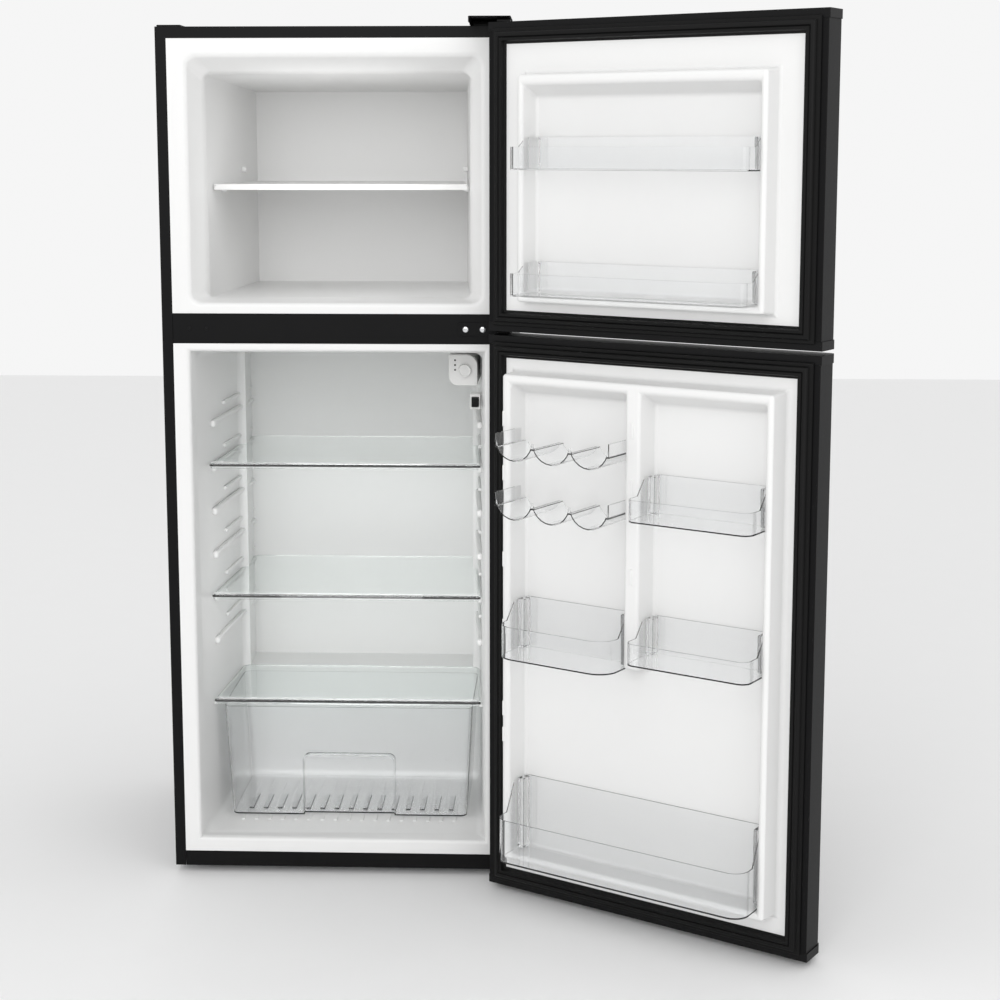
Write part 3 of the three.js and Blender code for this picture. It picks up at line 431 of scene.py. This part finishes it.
for side in (-1, 1):
    for level in range(runner_count):
        top = runner_low + level * runner_pitch
        guide = top + guide_rise
        wall_bar(cold, side, runner_reach, runner_depths, (top - runner_height, top), runner_edge)
        wall_bar(cold, side, runner_reach, nose_depths, (top - nose_height, top), nose_edge)
        wall_bar(cold, side, guide_reach, guide_depths, (guide, guide + guide_height), guide_edge)
    wall_bar(cold, side, cover_ledge_reach, cover_ledge_depths, (hump_top - 0.007, hump_top + sunk),
             cover_ledge_edge)
floor_ribs = 17
floor_rib_pitch = 0.024
floor_rib_half = 0.003
floor_rib_edge = 0.0012
floor_rib_depths = (front + 0.085, front + 0.300)
floor_rib_heights = (0.0655, 0.0684)
for index in range(floor_ribs):
    x = (index - (floor_ribs - 1) / 2) * floor_rib_pitch
    ledge(cold, [(x - floor_rib_half, x + floor_rib_half)] * 2, floor_rib_depths, floor_rib_heights,
          floor_rib_edge, 2)
walled(finished(cold, "fridge_lining", liner_white, "cabinet",
                ("fridge_liner", "cabinet_foam")), liner_sheet)


# ---- door shells ---------------------------------------------------------------------
# Each door is a bent steel skin round a foam core, closed top and bottom by a moulded
# black cap whose skirt overlaps the skin. Foam and skin are one bonded panel.
black_plastic = coated(
    "fine_grained_black_plastic", colour=(0.0052, 0.0052, 0.0055), spread=0.15,
    roughness=0.44, rough_spread=0.1, grain=0.0007, depth=0.00008, specular_ior_level=0.14)
foam = Finish("cut_cream_foam")
cells_per_metre = 900.0
cells = foam.node("ShaderNodeTexVoronoi", None, {"Vector": foam.place, "Scale": cells_per_metre})
foam_cream = foam.done(foam.surface(
    base_color=foam.blend(cells, (0.78, 0.66, 0.38), (0.60, 0.48, 0.26)),
    roughness=0.95, normal=foam.relief(cells, 0.0006)))
cap_edge = 0.0012
for door in ("freezer_door", "fridge_door"):
    softened(door + "_skin", black_steel, radius=0.0)
    softened(door + "_top_cap", black_plastic, cap_edge, 3)
    softened(door + "_bottom_cap", black_plastic, cap_edge, 3)
    frame["nodes"][door + "_foam"].data.materials.clear()
    frame["nodes"][door + "_foam"].data.materials.append(foam_cream)

# The doors are drawn closed and then swung open about the hinge pins.
hinges = {joint["name"]: joint for joint in frame["joints"]}
hinge = hinges["freezer_door_hinge"]
hinge_pin = Vector((hinge["pos_m"][0], hinge["pos_m"][1], 0.0))
swing = (Matrix.Translation(hinge_pin) @ Matrix.Rotation(math.radians(-hinge["range_deg"][0]), 4, "Z")
         @ Matrix.Translation(-hinge_pin))
door_side_inset = 0.001
door_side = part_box("cabinet_shell")[1].x - door_side_inset
seal_gap = 0.012
inner_face = front - seal_gap
cap_height = 0.0143
door_width = 2 * door_side
door_heights = {door: (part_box(door + "_bottom_cap")[0].z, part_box(door + "_top_cap")[1].z)
                for door in ("freezer_door", "fridge_door")}


def across(low, high):
    """A span measured from the hinge side, as left and right edges of the closed door."""
    return (door_side - high, door_side - low)


def swung(shape):
    bmesh.ops.transform(shape, matrix=swing, verts=shape.verts)
    return shape


# ---- door seals ----------------------------------------------------------------------
# Black vinyl extrusion with a magnet in its bellows, welded at 45 degrees in the four
# corners and pressed into a groove round the liner.
seal_rubber = coated(
    "black_vinyl", colour=(0.0050, 0.0050, 0.0050), spread=0.2,
    roughness=0.5, rough_spread=0.12, grain=0.0016, depth=0.00010, specular_ior_level=0.15)
seal_inset = 0.010
seal_crease = math.radians(50)
seal_steps = [(0.0, 0.0024), (0.0012, 0.0046), (0.0060, 0.0050), (0.0072, 0.0092), (0.0092, 0.0114),
              (0.0138, 0.0116), (0.0152, 0.0098), (0.0166, 0.0116), (0.0206, 0.0112), (0.0218, 0.0086),
              (0.0226, 0.0052), (0.0248, 0.0044), (0.0260, 0.0024)]
for door, (low, high) in door_heights.items():
    seal = bmesh.new()
    lip = None
    for inset, rise in seal_steps:
        inset = seal_inset + inset
        place = dict(x=across(inset, door_width - inset), y=inner_face + rise,
                     z=(low + inset, high - inset))
        if lip is None:
            lip = mould_face(seal, **place, facing_back=True)
        else:
            draw_to(seal, lip, **place)
    bmesh.ops.delete(seal, geom=[lip], context="FACES_ONLY")
    rims = [edge for edge in seal.edges if edge.is_boundary]
    bmesh.ops.bridge_loops(seal, edges=rims)
    bmesh.ops.recalc_face_normals(seal, faces=seal.faces)
    finished(swung(seal), door + "_gasket", seal_rubber, door, (door + "_seal",),
             seal_crease)


# ---- door liners ---------------------------------------------------------------------
# White polystyrene again: a raised rim surrounds the shelf pockets and keeps the cold in;
# the top of each pocket slopes, and small lugs on the rim carry the bins.
door_sheet = inner_face + 0.0018
door_sheet_inset = 0.0123
door_wall = 0.0012
door_crease = math.radians(20)
rim_wall = 0.014
rim_lean = 0.003
pocket_lean = 0.005
pocket_floor = 0.0018
pocket_top_slope = 0.014
door_mould_radius = 0.0055


def door_pan(door, span, z, height, corner):
    """The flat pan of a door liner with its raised rim; gives the shape."""
    low, high = door_heights[door]
    shape = bmesh.new()
    crown = mould_face(shape, across(door_sheet_inset, door_width - door_sheet_inset), door_sheet,
                       (low + cap_height, high - cap_height), facing_back=True)
    draw_to(shape, crown, across(*span), door_sheet, z)
    draw_to(shape, crown, across(span[0] + rim_lean, span[1] - rim_lean), inner_face + height,
            (z[0] + rim_lean, z[1] - rim_lean))
    posts = [edge for edge in shape.edges if edge.is_manifold and edge.calc_length() < 2 * height
             and edge.calc_face_angle() > round_limit]
    round_edges(shape, posts, corner, 6)
    return shape


def crown_faces(shape, height):
    return [face for face in shape.faces
            if abs(face.calc_center_median().y - inner_face - height) < level_slack]


def cut_crown(shape, height, direction, places):
    """Cuts the crown across at each place along a direction, and leaves the rest of the pan whole."""
    for place in places:
        crown = crown_faces(shape, height)
        edges = dict.fromkeys(edge for face in crown for edge in face.edges)
        corners = dict.fromkeys(corner for face in crown for corner in face.verts)
        bmesh.ops.bisect_plane(shape, geom=[*crown, *edges, *corners], plane_no=direction,
                               plane_co=[part * place for part in direction])


def sink_pockets(shape, height, pockets, tops):
    """Presses the pockets into the crown; each is a span across and a span in height."""
    def inside(face):
        middle = face.calc_center_median()
        return any(x[0] < middle.x < x[1] and z[0] < middle.z < z[1] for x, z in pockets)
    pressed = [face for face in crown_faces(shape, height) if inside(face)]
    bmesh.ops.inset_region(shape, faces=pressed, thickness=pocket_lean, depth=-(height - pocket_floor),
                           use_even_offset=True, use_boundary=True)
    for corner in {corner for face in pressed for corner in face.verts}:
        if any(abs(corner.co.z - (top - pocket_lean)) < sunk for top in tops):
            corner.co.z -= pocket_top_slope
    return shape


freezer_rim_height = 0.038
freezer_rim_corner = 0.012
freezer_margin = 0.075
freezer_foot, freezer_head = door_heights["freezer_door"]
freezer_span = (freezer_margin, door_width - freezer_margin)
freezer_z = (freezer_foot + 0.051, freezer_head - 0.084)
freezer_pocket = (across(freezer_span[0] + rim_wall, freezer_span[1] - rim_wall),
                  (freezer_z[0] + rim_wall, freezer_z[1] - rim_wall - 0.004))
pan = door_pan("freezer_door", freezer_span, freezer_z, freezer_rim_height, freezer_rim_corner)
cut_crown(pan, freezer_rim_height, (1, 0, 0), freezer_pocket[0])
cut_crown(pan, freezer_rim_height, (0, 0, 1), freezer_pocket[1])
sink_pockets(pan, freezer_rim_height, [freezer_pocket], [freezer_pocket[1][1]])
round_edges(pan, corners_of(pan, door_crease), door_mould_radius, 4)
walled(finished(swung(pan), "freezer_door_lining", liner_white, "freezer_door",
                ("freezer_door_liner",)), door_wall)

fridge_rim_height = 0.045
fridge_rim_corner = 0.016
fridge_margin = 0.052
fridge_low, fridge_high = door_heights["fridge_door"]
fridge_span = (fridge_margin, door_width - fridge_margin)
fridge_z = (fridge_low + 0.066, fridge_high - 0.055)
divider = (0.482 * door_width, 0.526 * door_width)
divider_foot = fridge_low + 0.457 * (fridge_high - fridge_low)
pocket_low, pocket_high = fridge_z[0] + rim_wall, fridge_z[1] - rim_wall - 0.003
hinge_wall, free_wall = fridge_span[0] + rim_wall + 0.004, fridge_span[1] - rim_wall
left_pocket = (across(hinge_wall, divider[0]), (pocket_low, pocket_high))
right_pocket = (across(divider[1], free_wall), (pocket_low, pocket_high))
low_pocket = (across(hinge_wall, free_wall), (pocket_low, divider_foot))
pan = door_pan("fridge_door", fridge_span, fridge_z, fridge_rim_height, fridge_rim_corner)
cut_crown(pan, fridge_rim_height, (1, 0, 0), left_pocket[0] + right_pocket[0])
cut_crown(pan, fridge_rim_height, (0, 0, 1), (pocket_low, divider_foot, pocket_high))
sink_pockets(pan, fridge_rim_height, [left_pocket, right_pocket, low_pocket], [pocket_high])
round_edges(pan, corners_of(pan, door_crease), door_mould_radius, 4)
lug_half = 0.0025
lug_half_height = 0.013
lug_edge = 0.0012
lug_rise = (inner_face + fridge_rim_height - 0.002, inner_face + fridge_rim_height + 0.0015)
upper_lugs = (0.486, 0.600, 0.745, 0.835)
low_lugs = (0.300, 0.345)
divider_middle = (divider[0] + divider[1]) / 2
hinge_rim_middle = fridge_span[0] + rim_wall / 2
for middle, heights in ((divider_middle, upper_lugs), (hinge_rim_middle, low_lugs + upper_lugs)):
    for height in heights:
        ledge(pan, [across(middle - lug_half, middle + lug_half)] * 2, lug_rise,
              (height - lug_half_height, height + lug_half_height), lug_edge, 2)
walled(finished(swung(pan), "fridge_door_lining", liner_white, "fridge_door",
                ("fridge_door_liner",)), door_wall)


# ---- glass shelves -------------------------------------------------------------------
# Tempered clear panes, faintly green through their edges, each with a moulded clear bar
# gripping its front edge. They slide on the liner's runners.
clear_bending = 1.46
shadow_clearness = 0.94


def clear_finish(name, colour, wave, depth, gloss):
    """Clear stock, polished, with the faint waviness of the mould; it throws only a light shadow."""
    finish = Finish(name)
    waves = finish.clouds(wave)
    solid = finish.surface(
        base_color=finish.blend(waves, colour, shaded(colour, 0.99)), roughness=waves * gloss + 0.01,
        ior=clear_bending, transmission_weight=1.0, normal=finish.relief(waves, depth))
    shadow = finish.node("ShaderNodeBsdfTransparent", None,
                         {"Color": (*shaded(colour, shadow_clearness), 1.0)})
    light = finish.node("ShaderNodeLightPath", output="Is Shadow Ray")
    return finish.done(finish.node("ShaderNodeMixShader", None, {0: light, 1: solid, 2: shadow}))


shelf_glass = clear_finish(
    "tempered_glass", (0.955, 0.985, 0.975), wave=0.05, depth=0.00002, gloss=0.02)
clear_plastic = clear_finish(
    "clear_polystyrene", (0.985, 0.988, 0.99), wave=0.02, depth=0.00005, gloss=0.03)
ground_edge = 0.0006
for shelf in ("upper_shelf", "lower_shelf", "crisper_cover"):
    softened(shelf + "_glass", shelf_glass, ground_edge)
    softened(shelf + "_trim", clear_plastic, ground_edge)


# ---- freezer shelf, crisper drawer, door bins and racks --------------------------------
# The freezer shelf is moulded white; the drawer, the bins and the can racks are thin
# clear mouldings with rounded rims that lift off the lugs of the liner.
white_plastic = coated(
    "moulded_white_plastic", colour=(0.76, 0.76, 0.75), spread=0.012,
    roughness=0.38, rough_spread=0.1, grain=0.0014, depth=0.00005)
shelf = solid_of("freezer_shelf")
shelf_lip = 0.0105
shelf_edge = 0.0009
lip_foot = shelf_high.z - shelf_lip
for corner in shelf.verts:
    if corner.co.z < lip_foot:
        corner.co.z = lip_foot
round_edges(shelf, corners_of(shelf), shelf_edge)
clip_width = 0.0045
clip_length = 0.011
clip_edge = 0.0012
for x in ((shelf_low.x, shelf_low.x + clip_width), (shelf_high.x - clip_width, shelf_high.x)):
    ledge(shelf, [x] * 2, (shelf_low.y, shelf_low.y + clip_length), (shelf_low.z, shelf_high.z - sunk),
          clip_edge, 2)
finished(shelf, "freezer_shelf_made", white_plastic, "freezer_shelf", ("freezer_shelf",))
rim_edge = 0.0006
for node in ("crisper_drawer", "freezer_door_bin_upper", "freezer_door_bin_lower", "can_rack_upper",
             "can_rack_lower", "door_bin_right_upper", "door_bin_right_lower", "door_bin_left",
             "door_bin_bottom"):
    softened(node, clear_plastic, rim_edge)


def closed_box(node):
    """Corners of a node with its door swung shut, so that its sides lie square."""
    places = [swing.inverted() @ corner.co for corner in frame["nodes"][node].data.vertices]
    return [Vector(pick(place[axis] for place in places) for axis in range(3)) for pick in (min, max)]


# Both ends of a bin are doubled where its hooks drop over the lugs.
hook_width = 0.015
hook_depth = 0.024
hook_margin = 0.0025
hook_edge = 0.0022
for node in ("freezer_door_bin_upper", "freezer_door_bin_lower", "door_bin_right_upper",
             "door_bin_right_lower", "door_bin_left", "door_bin_bottom"):
    low, high = closed_box(node)
    hooks = bmesh.new()
    for x in ((low.x + hook_margin, low.x + hook_width), (high.x - hook_width, high.x - hook_margin)):
        ledge(hooks, [x] * 2, (low.y + hook_margin, low.y + hook_depth),
              (low.z + hook_margin, high.z - 0.0008), hook_edge)
    body = frame["nodes"][node]["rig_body"]
    finished(swung(hooks), node + "_hooks", clear_plastic, body)

drawer_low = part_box("crisper_drawer")[0]
ribs = bmesh.new()
drawer_ribs = 15
rib_pitch = 0.0262
rib_half = 0.0045
rib_edge = 0.0012
rib_depths = (drawer_low.y + 0.030, drawer_low.y + 0.105)
rib_heights = (drawer_low.z + 0.0015, drawer_low.z + 0.0042)
for index in range(drawer_ribs):
    x = (index - (drawer_ribs - 1) / 2) * rib_pitch
    ledge(ribs, [(x - rib_half, x + rib_half)] * 2, rib_depths, rib_heights, rib_edge, 2)
finished(ribs, "crisper_drawer_ribs", clear_plastic, "crisper_drawer")


# ---- hinges and their screws -----------------------------------------------------------
# Pressed steel plates painted black, with turned pins; the middle one is held on the
# rail by two bright pan-head screws, and a moulded cover hides the top one.
screw_steel = coated(
    "bright_plated_steel", colour=(0.62, 0.63, 0.64), spread=0.08,
    roughness=0.24, rough_spread=0.1, grain=0.0006, depth=0.00003, metallic=1.0)
plate_edge = 0.0005
moulded_edge = 0.0014
for node in ("top_hinge", "middle_hinge", "bottom_hinge"):
    softened(node, black_steel, plate_edge)
softened("top_hinge_cover", black_plastic, moulded_edge, 3)
facing_front = Matrix.Rotation(math.pi / 2, 4, "X")
facing_rear = Matrix.Rotation(-math.pi / 2, 4, "X")
facing_up = Matrix.Identity(4)
head_crease = math.radians(50)


def pan_head(name, place, radius, height, turn, material, slot, stands_for=()):
    """A domed screw head with a cross driven into it, facing out along its turn."""
    head = bmesh.new()
    bmesh.ops.create_cone(head, cap_ends=True, segments=24, radius1=radius, radius2=radius * 0.86,
                          depth=height)
    bmesh.ops.translate(head, vec=(0, 0, height / 2), verts=head.verts)
    crown = max(head.faces, key=lambda face: face.calc_center_median().z)
    bmesh.ops.inset_individual(head, faces=[crown], thickness=radius * 0.3, depth=height * 0.25)
    bmesh.ops.inset_individual(head, faces=[crown], thickness=radius * 0.24, depth=0.0)
    arms = [corner for index, corner in enumerate(crown.verts) if index % 6 < 3]
    for corner in crown.verts:
        if corner not in arms:
            corner.co.x *= 0.55
            corner.co.y *= 0.55
    bmesh.ops.inset_individual(head, faces=[crown], thickness=radius * 0.02, depth=-height * 0.55)
    rims = [edge for edge in corners_of(head, head_crease)
            if max(corner.co.xy.length for corner in edge.verts) > radius * 0.7]
    round_edges(head, rims, height * 0.12)
    bmesh.ops.transform(head, matrix=Matrix.Translation(place) @ turn, verts=head.verts)
    return finished(head, name, material, "cabinet", stands_for)


for side in ("inner", "outer"):
    node = "middle_hinge_screw_" + side
    low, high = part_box(node)
    pan_head(node + "_head", ((low.x + high.x) / 2, high.y, (low.z + high.z) / 2), (high.x - low.x) / 2,
             high.y - low.y, facing_front, screw_steel, "screw_steel", (node,))

# Unused hinge holes on the other side, for a door hung the other way, are closed by caps.
rail_low, rail_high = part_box("mid_rail")
plug_height = (rail_low.z + rail_high.z) / 2
for name, x in (("outer_rail_plug", -0.2515), ("inner_rail_plug", -0.2220)):
    pan_head(name, (x, front + 0.0001, plug_height), 0.0034, 0.0010, facing_front, black_plastic,
             "black_plastic")
cabinet_low, cabinet_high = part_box("cabinet_shell")
blank_size = (0.041, 0.044, 0.0032)
blank_edge = 0.0015
blank_left = cabinet_low.x + 0.002
blank_front = front + 0.006
blank = bmesh.new()
ledge(blank, [(blank_left, blank_left + blank_size[0])] * 2, (blank_front, blank_front + blank_size[1]),
      (cabinet_high.z, cabinet_high.z + blank_size[2]), blank_edge)
finished(blank, "unused_hinge_cap", black_plastic, "cabinet")

# Short self-tapping screws hold the back sheet along both sides.
sheet_screw = dict(radius=0.0032, height=0.0012, turn=facing_rear, material=screw_steel, slot="screw_steel")
back_low, back_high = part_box("back_panel")
screw_margin = 0.012
screw_rows = 5
screw_pitch = (back_high.z - back_low.z - 2 * screw_margin) / (screw_rows - 1)
for row in range(screw_rows):
    height = back_low.z + screw_margin + row * screw_pitch
    for side, x in (("left", back_low.x + screw_margin), ("right", back_high.x - screw_margin)):
        pan_head(f"back_screw_{side}_{row}", (x, back_high.y, height), **sheet_screw)


# ---- thermostat, lamp and door switch ---------------------------------------------------
# A white snap-in housing carries the temperature knob, with vent holes beside it drawn as flat
# black discs of painted shade, and a clear window under the lamp; the black plunger of the door switch sits
# below.
housing_edge = 0.0016
switch_edge = 0.0008
softened("thermostat_housing", white_plastic, housing_edge, 3)
softened("lamp_lens", clear_plastic, rim_edge)
softened("door_switch_body", white_plastic, switch_edge)
softened("door_switch_plunger", black_plastic, switch_edge)
knob_low, knob_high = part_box("thermostat_knob")
knob_radius = (knob_high.x - knob_low.x) / 2
knob_foot_radius = knob_radius * 0.94
knob_top_radius = knob_radius * 0.88
grip_depth = 0.0006
crown_rim = 0.0015
crown_step = 0.0010
pointer_half = 0.0009
pointer_reach = (0.001, knob_radius * 0.78)
pointer_heights = (0.0028, 0.0044)
knob = bmesh.new()
bmesh.ops.create_cone(knob, cap_ends=True, segments=36, radius1=knob_foot_radius, radius2=knob_top_radius,
                      depth=knob_high.y - knob_low.y)
flanks = [face for face in knob.faces if abs(face.normal.z) < 0.5]
bmesh.ops.inset_individual(knob, faces=flanks[1::2], thickness=grip_depth / 3, depth=grip_depth)
crown = max(knob.faces, key=lambda face: face.calc_center_median().z)
bmesh.ops.inset_individual(knob, faces=[crown], thickness=crown_rim, depth=0.0)
bmesh.ops.inset_individual(knob, faces=[crown], thickness=crown_step * 0.8, depth=-crown_step)
ledge(knob, [(-pointer_half, pointer_half)] * 2, pointer_reach, pointer_heights, 0.0003, 2)
knob_place = Matrix.Translation((knob_low + knob_high) / 2) @ facing_front
bmesh.ops.transform(knob, matrix=knob_place, verts=knob.verts)
finished(knob, "temperature_knob", white_plastic, "thermostat_knob", ("thermostat_knob",))

housing_low, housing_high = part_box("thermostat_housing")
vent_radius = 0.0017
vent_pitch = 0.0085
vent_x = housing_low.x + 0.011
vent_top = housing_high.z - 0.010
# The vent holes have no depth: flat black discs just before the housing are painted shade for their dark
# insides.
vent_shade_discs = bmesh.new()
for row in range(3):
    vent = bmesh.ops.create_circle(vent_shade_discs, cap_ends=True, segments=16, radius=vent_radius)["verts"]
    vent_place = Matrix.Translation((vent_x, housing_low.y - 0.0002, vent_top - row * vent_pitch))
    bmesh.ops.transform(vent_shade_discs, matrix=vent_place @ facing_front, verts=vent)
bmesh.ops.inset_individual(vent_shade_discs, faces=vent_shade_discs.faces, thickness=0.0005, depth=0.0)
finished(vent_shade_discs, "thermostat_vent_painted_shade", black_plastic, "cabinet")

lens_low, lens_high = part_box("lamp_lens")
lens_middle = (lens_low + lens_high) / 2
bulb_radius = 0.010
neck_stretch = 2.2
neck_pinch = 0.45
bulb = bmesh.new()
bmesh.ops.create_uvsphere(bulb, u_segments=24, v_segments=12, radius=bulb_radius)
for corner in bulb.verts:
    if corner.co.y > 0:
        corner.co.y *= neck_stretch
        pinch = 1 - neck_pinch * min(corner.co.y / (bulb_radius * neck_stretch), 1.0)
        corner.co.x *= pinch
        corner.co.z *= pinch
bulb_place = (lens_middle.x, lens_middle.y - 0.006, lens_high.z + 0.016)
bmesh.ops.translate(bulb, verts=bulb.verts, vec=bulb_place)
finished(bulb, "lamp_bulb", white_plastic, "cabinet")


# ---- back: condenser, compressor and tray -----------------------------------------------
# Galvanised sheet closes the back. A black-painted wire and tube condenser stands off it,
# and the compressor sits in the bay below with its relay and the drip tray.
spangles_per_metre = 110.0
haze_size = 0.12
zinc = Finish("galvanised_sheet")
spangles = zinc.node("ShaderNodeTexVoronoi", None,
                     {"Vector": zinc.place, "Scale": spangles_per_metre}, output="Color")
spangle = zinc.node("ShaderNodeSeparateColor", None, {"Color": spangles})
haze = zinc.clouds(haze_size, 4.0)
zinc_steel = zinc.done(zinc.surface(
    base_color=zinc.blend(spangle * 0.5 + haze * 0.5, (0.42, 0.43, 0.44), (0.62, 0.63, 0.64)),
    metallic=0.9, roughness=spangle * 0.18 + 0.36, normal=zinc.relief(haze, 0.0004)))
pump_black = coated(
    "sprayed_black_paint", colour=(0.018, 0.018, 0.019), spread=0.2,
    roughness=0.38, rough_spread=0.14, grain=0.0016, depth=0.00016)
tarnish_size = 0.03
drawn = Finish("drawn_copper")
tarnish = drawn.clouds(tarnish_size, 4.0)
copper = drawn.done(drawn.surface(
    base_color=drawn.blend(tarnish, (0.72, 0.36, 0.22), (0.46, 0.22, 0.13)), metallic=1.0,
    roughness=tarnish * 0.25 + 0.22, normal=drawn.relief(tarnish, 0.0001)))
zinc_edge = 0.0004
for node in ("back_panel", "base_plate", "compressor_tray"):
    softened(node, zinc_steel, zinc_edge)
softened("condenser_coil", pump_black, radius=0.0, flat=0.0001)
softened("compressor", pump_black, radius=0.0)

pump_low, pump_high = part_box("compressor")
pump_middle = (pump_low + pump_high) / 2
pump_radius = (pump_high.y - pump_low.y) / 2
seam_height = pump_low.z + 0.068
seam_bead = 0.0022
seam = bmesh.new()
bead = bmesh.ops.create_circle(seam, segments=10, radius=seam_bead)["verts"]
bead_place = Matrix.Translation((pump_middle.x + pump_radius, pump_middle.y, seam_height))
bmesh.ops.transform(seam, matrix=bead_place @ facing_front, verts=bead)
bmesh.ops.spin(seam, geom=[*seam.verts, *seam.edges], cent=(pump_middle.x, pump_middle.y, seam_height),
               axis=(0, 0, 1), angle=math.tau, steps=48, use_merge=True)
bmesh.ops.recalc_face_normals(seam, faces=seam.faces)
finished(seam, "compressor_weld_seam", pump_black, "cabinet")

# The pump's four feet sit on rubber grommets and are held by bolts.
tray_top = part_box("compressor_tray")[1].z
rubber_height = pump_low.z - tray_top
grommet_radius = (0.0085, 0.0065)
grommet_edge = 0.0012
bolt_radius = 0.0050
bolt_height = 0.0030
foot_inset = 0.009
foot_half_pitch = 0.033
feet = [(x, y) for x in (pump_low.x + foot_inset, pump_high.x - foot_inset)
        for y in (pump_middle.y - foot_half_pitch, pump_middle.y + foot_half_pitch)]
for index, (x, y) in enumerate(feet):
    grommet = bmesh.new()
    bmesh.ops.create_cone(grommet, cap_ends=True, segments=20, radius1=grommet_radius[0],
                          radius2=grommet_radius[1], depth=rubber_height)
    bmesh.ops.translate(grommet, verts=grommet.verts, vec=(x, y, tray_top + rubber_height / 2))
    round_edges(grommet, corners_of(grommet, head_crease), grommet_edge)
    finished(grommet, f"compressor_grommet_{index}", seal_rubber, "cabinet")
    pan_head(f"compressor_bolt_{index}", (x, y, pump_low.z + bolt_height), bolt_radius, bolt_height,
             facing_up, screw_steel, "screw_steel")


def bent_tube(name, places, radius, material):
    """Rigid tube brazed between two fittings."""
    line = bpy.data.curves.new(name, "CURVE")
    line.dimensions = "3D"
    line.bevel_depth = radius
    line.bevel_resolution = 3
    line.use_fill_caps = True
    run = line.splines.new("NURBS")
    run.points.add(len(places) - 1)
    for point, place in zip(run.points, places):
        point.co = (*place, 1.0)
    run.order_u = 4
    run.use_endpoint_u = True
    run.resolution_u = 8
    line.materials.append(material)
    tube = bpy.data.objects.new(name, line)
    bpy.context.scene.collection.objects.link(tube)
    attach(tube, "cabinet")


pipe_low, pipe_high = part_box("suction_pipe")
pipe = (pipe_low + pipe_high) / 2
suction_radius = 0.0030
bent_tube("suction_tube", [
    (pump_middle.x + 0.020, pump_middle.y, pump_high.z - 0.012),
    (pump_middle.x + 0.035, pump_middle.y, pump_high.z + 0.022),
    (pump_middle.x + 0.090, pump_middle.y, pump_high.z + 0.020),
    (pump_middle.x + 0.120, pump_middle.y, pump_high.z - 0.035),
    (pipe.x - 0.020, pipe.y, pipe_low.z - 0.040),
    (pipe.x, pipe.y, pipe_low.z - 0.030),
    (pipe.x, pipe.y, pipe_low.z + 0.004),
], suction_radius, copper)
coil_low, coil_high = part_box("condenser_coil")
discharge_radius = 0.0024
coil_end = Vector((coil_low.x + 0.004, coil_high.y - discharge_radius, 0.300))
pump_side = pump_middle.x - pump_radius
outlet_height = pump_low.z + 0.105
bent_tube("discharge_tube", [
    (pump_side + 0.004, pump_middle.y, outlet_height),
    (pump_side - 0.030, pump_middle.y, outlet_height),
    (pump_side - 0.045, pump_middle.y + 0.040, outlet_height + 0.005),
    (coil_end.x - 0.012, coil_end.y, outlet_height + 0.055),
    (coil_end.x - 0.014, coil_end.y, coil_end.z - 0.020),
    (coil_end.x - 0.012, coil_end.y, coil_end.z),
    coil_end,
], discharge_radius, pump_black)
cover_edge = 0.0015
tray_edge = 0.0008
softened("relay_cover", black_plastic, cover_edge, 3)
softened("drip_tray", black_plastic, tray_edge)
softened("suction_pipe", copper, radius=0.0)


# ---- feet ---------------------------------------------------------------------------------
# Two black nylon levelling feet screw into the front of the base; two fixed glides behind.
foot_edge = 0.0008
glide_edge = 0.0012
for side in ("left", "right"):
    softened("levelling_foot_" + side, black_plastic, foot_edge)
    softened("rear_foot_" + side, black_plastic, glide_edge)
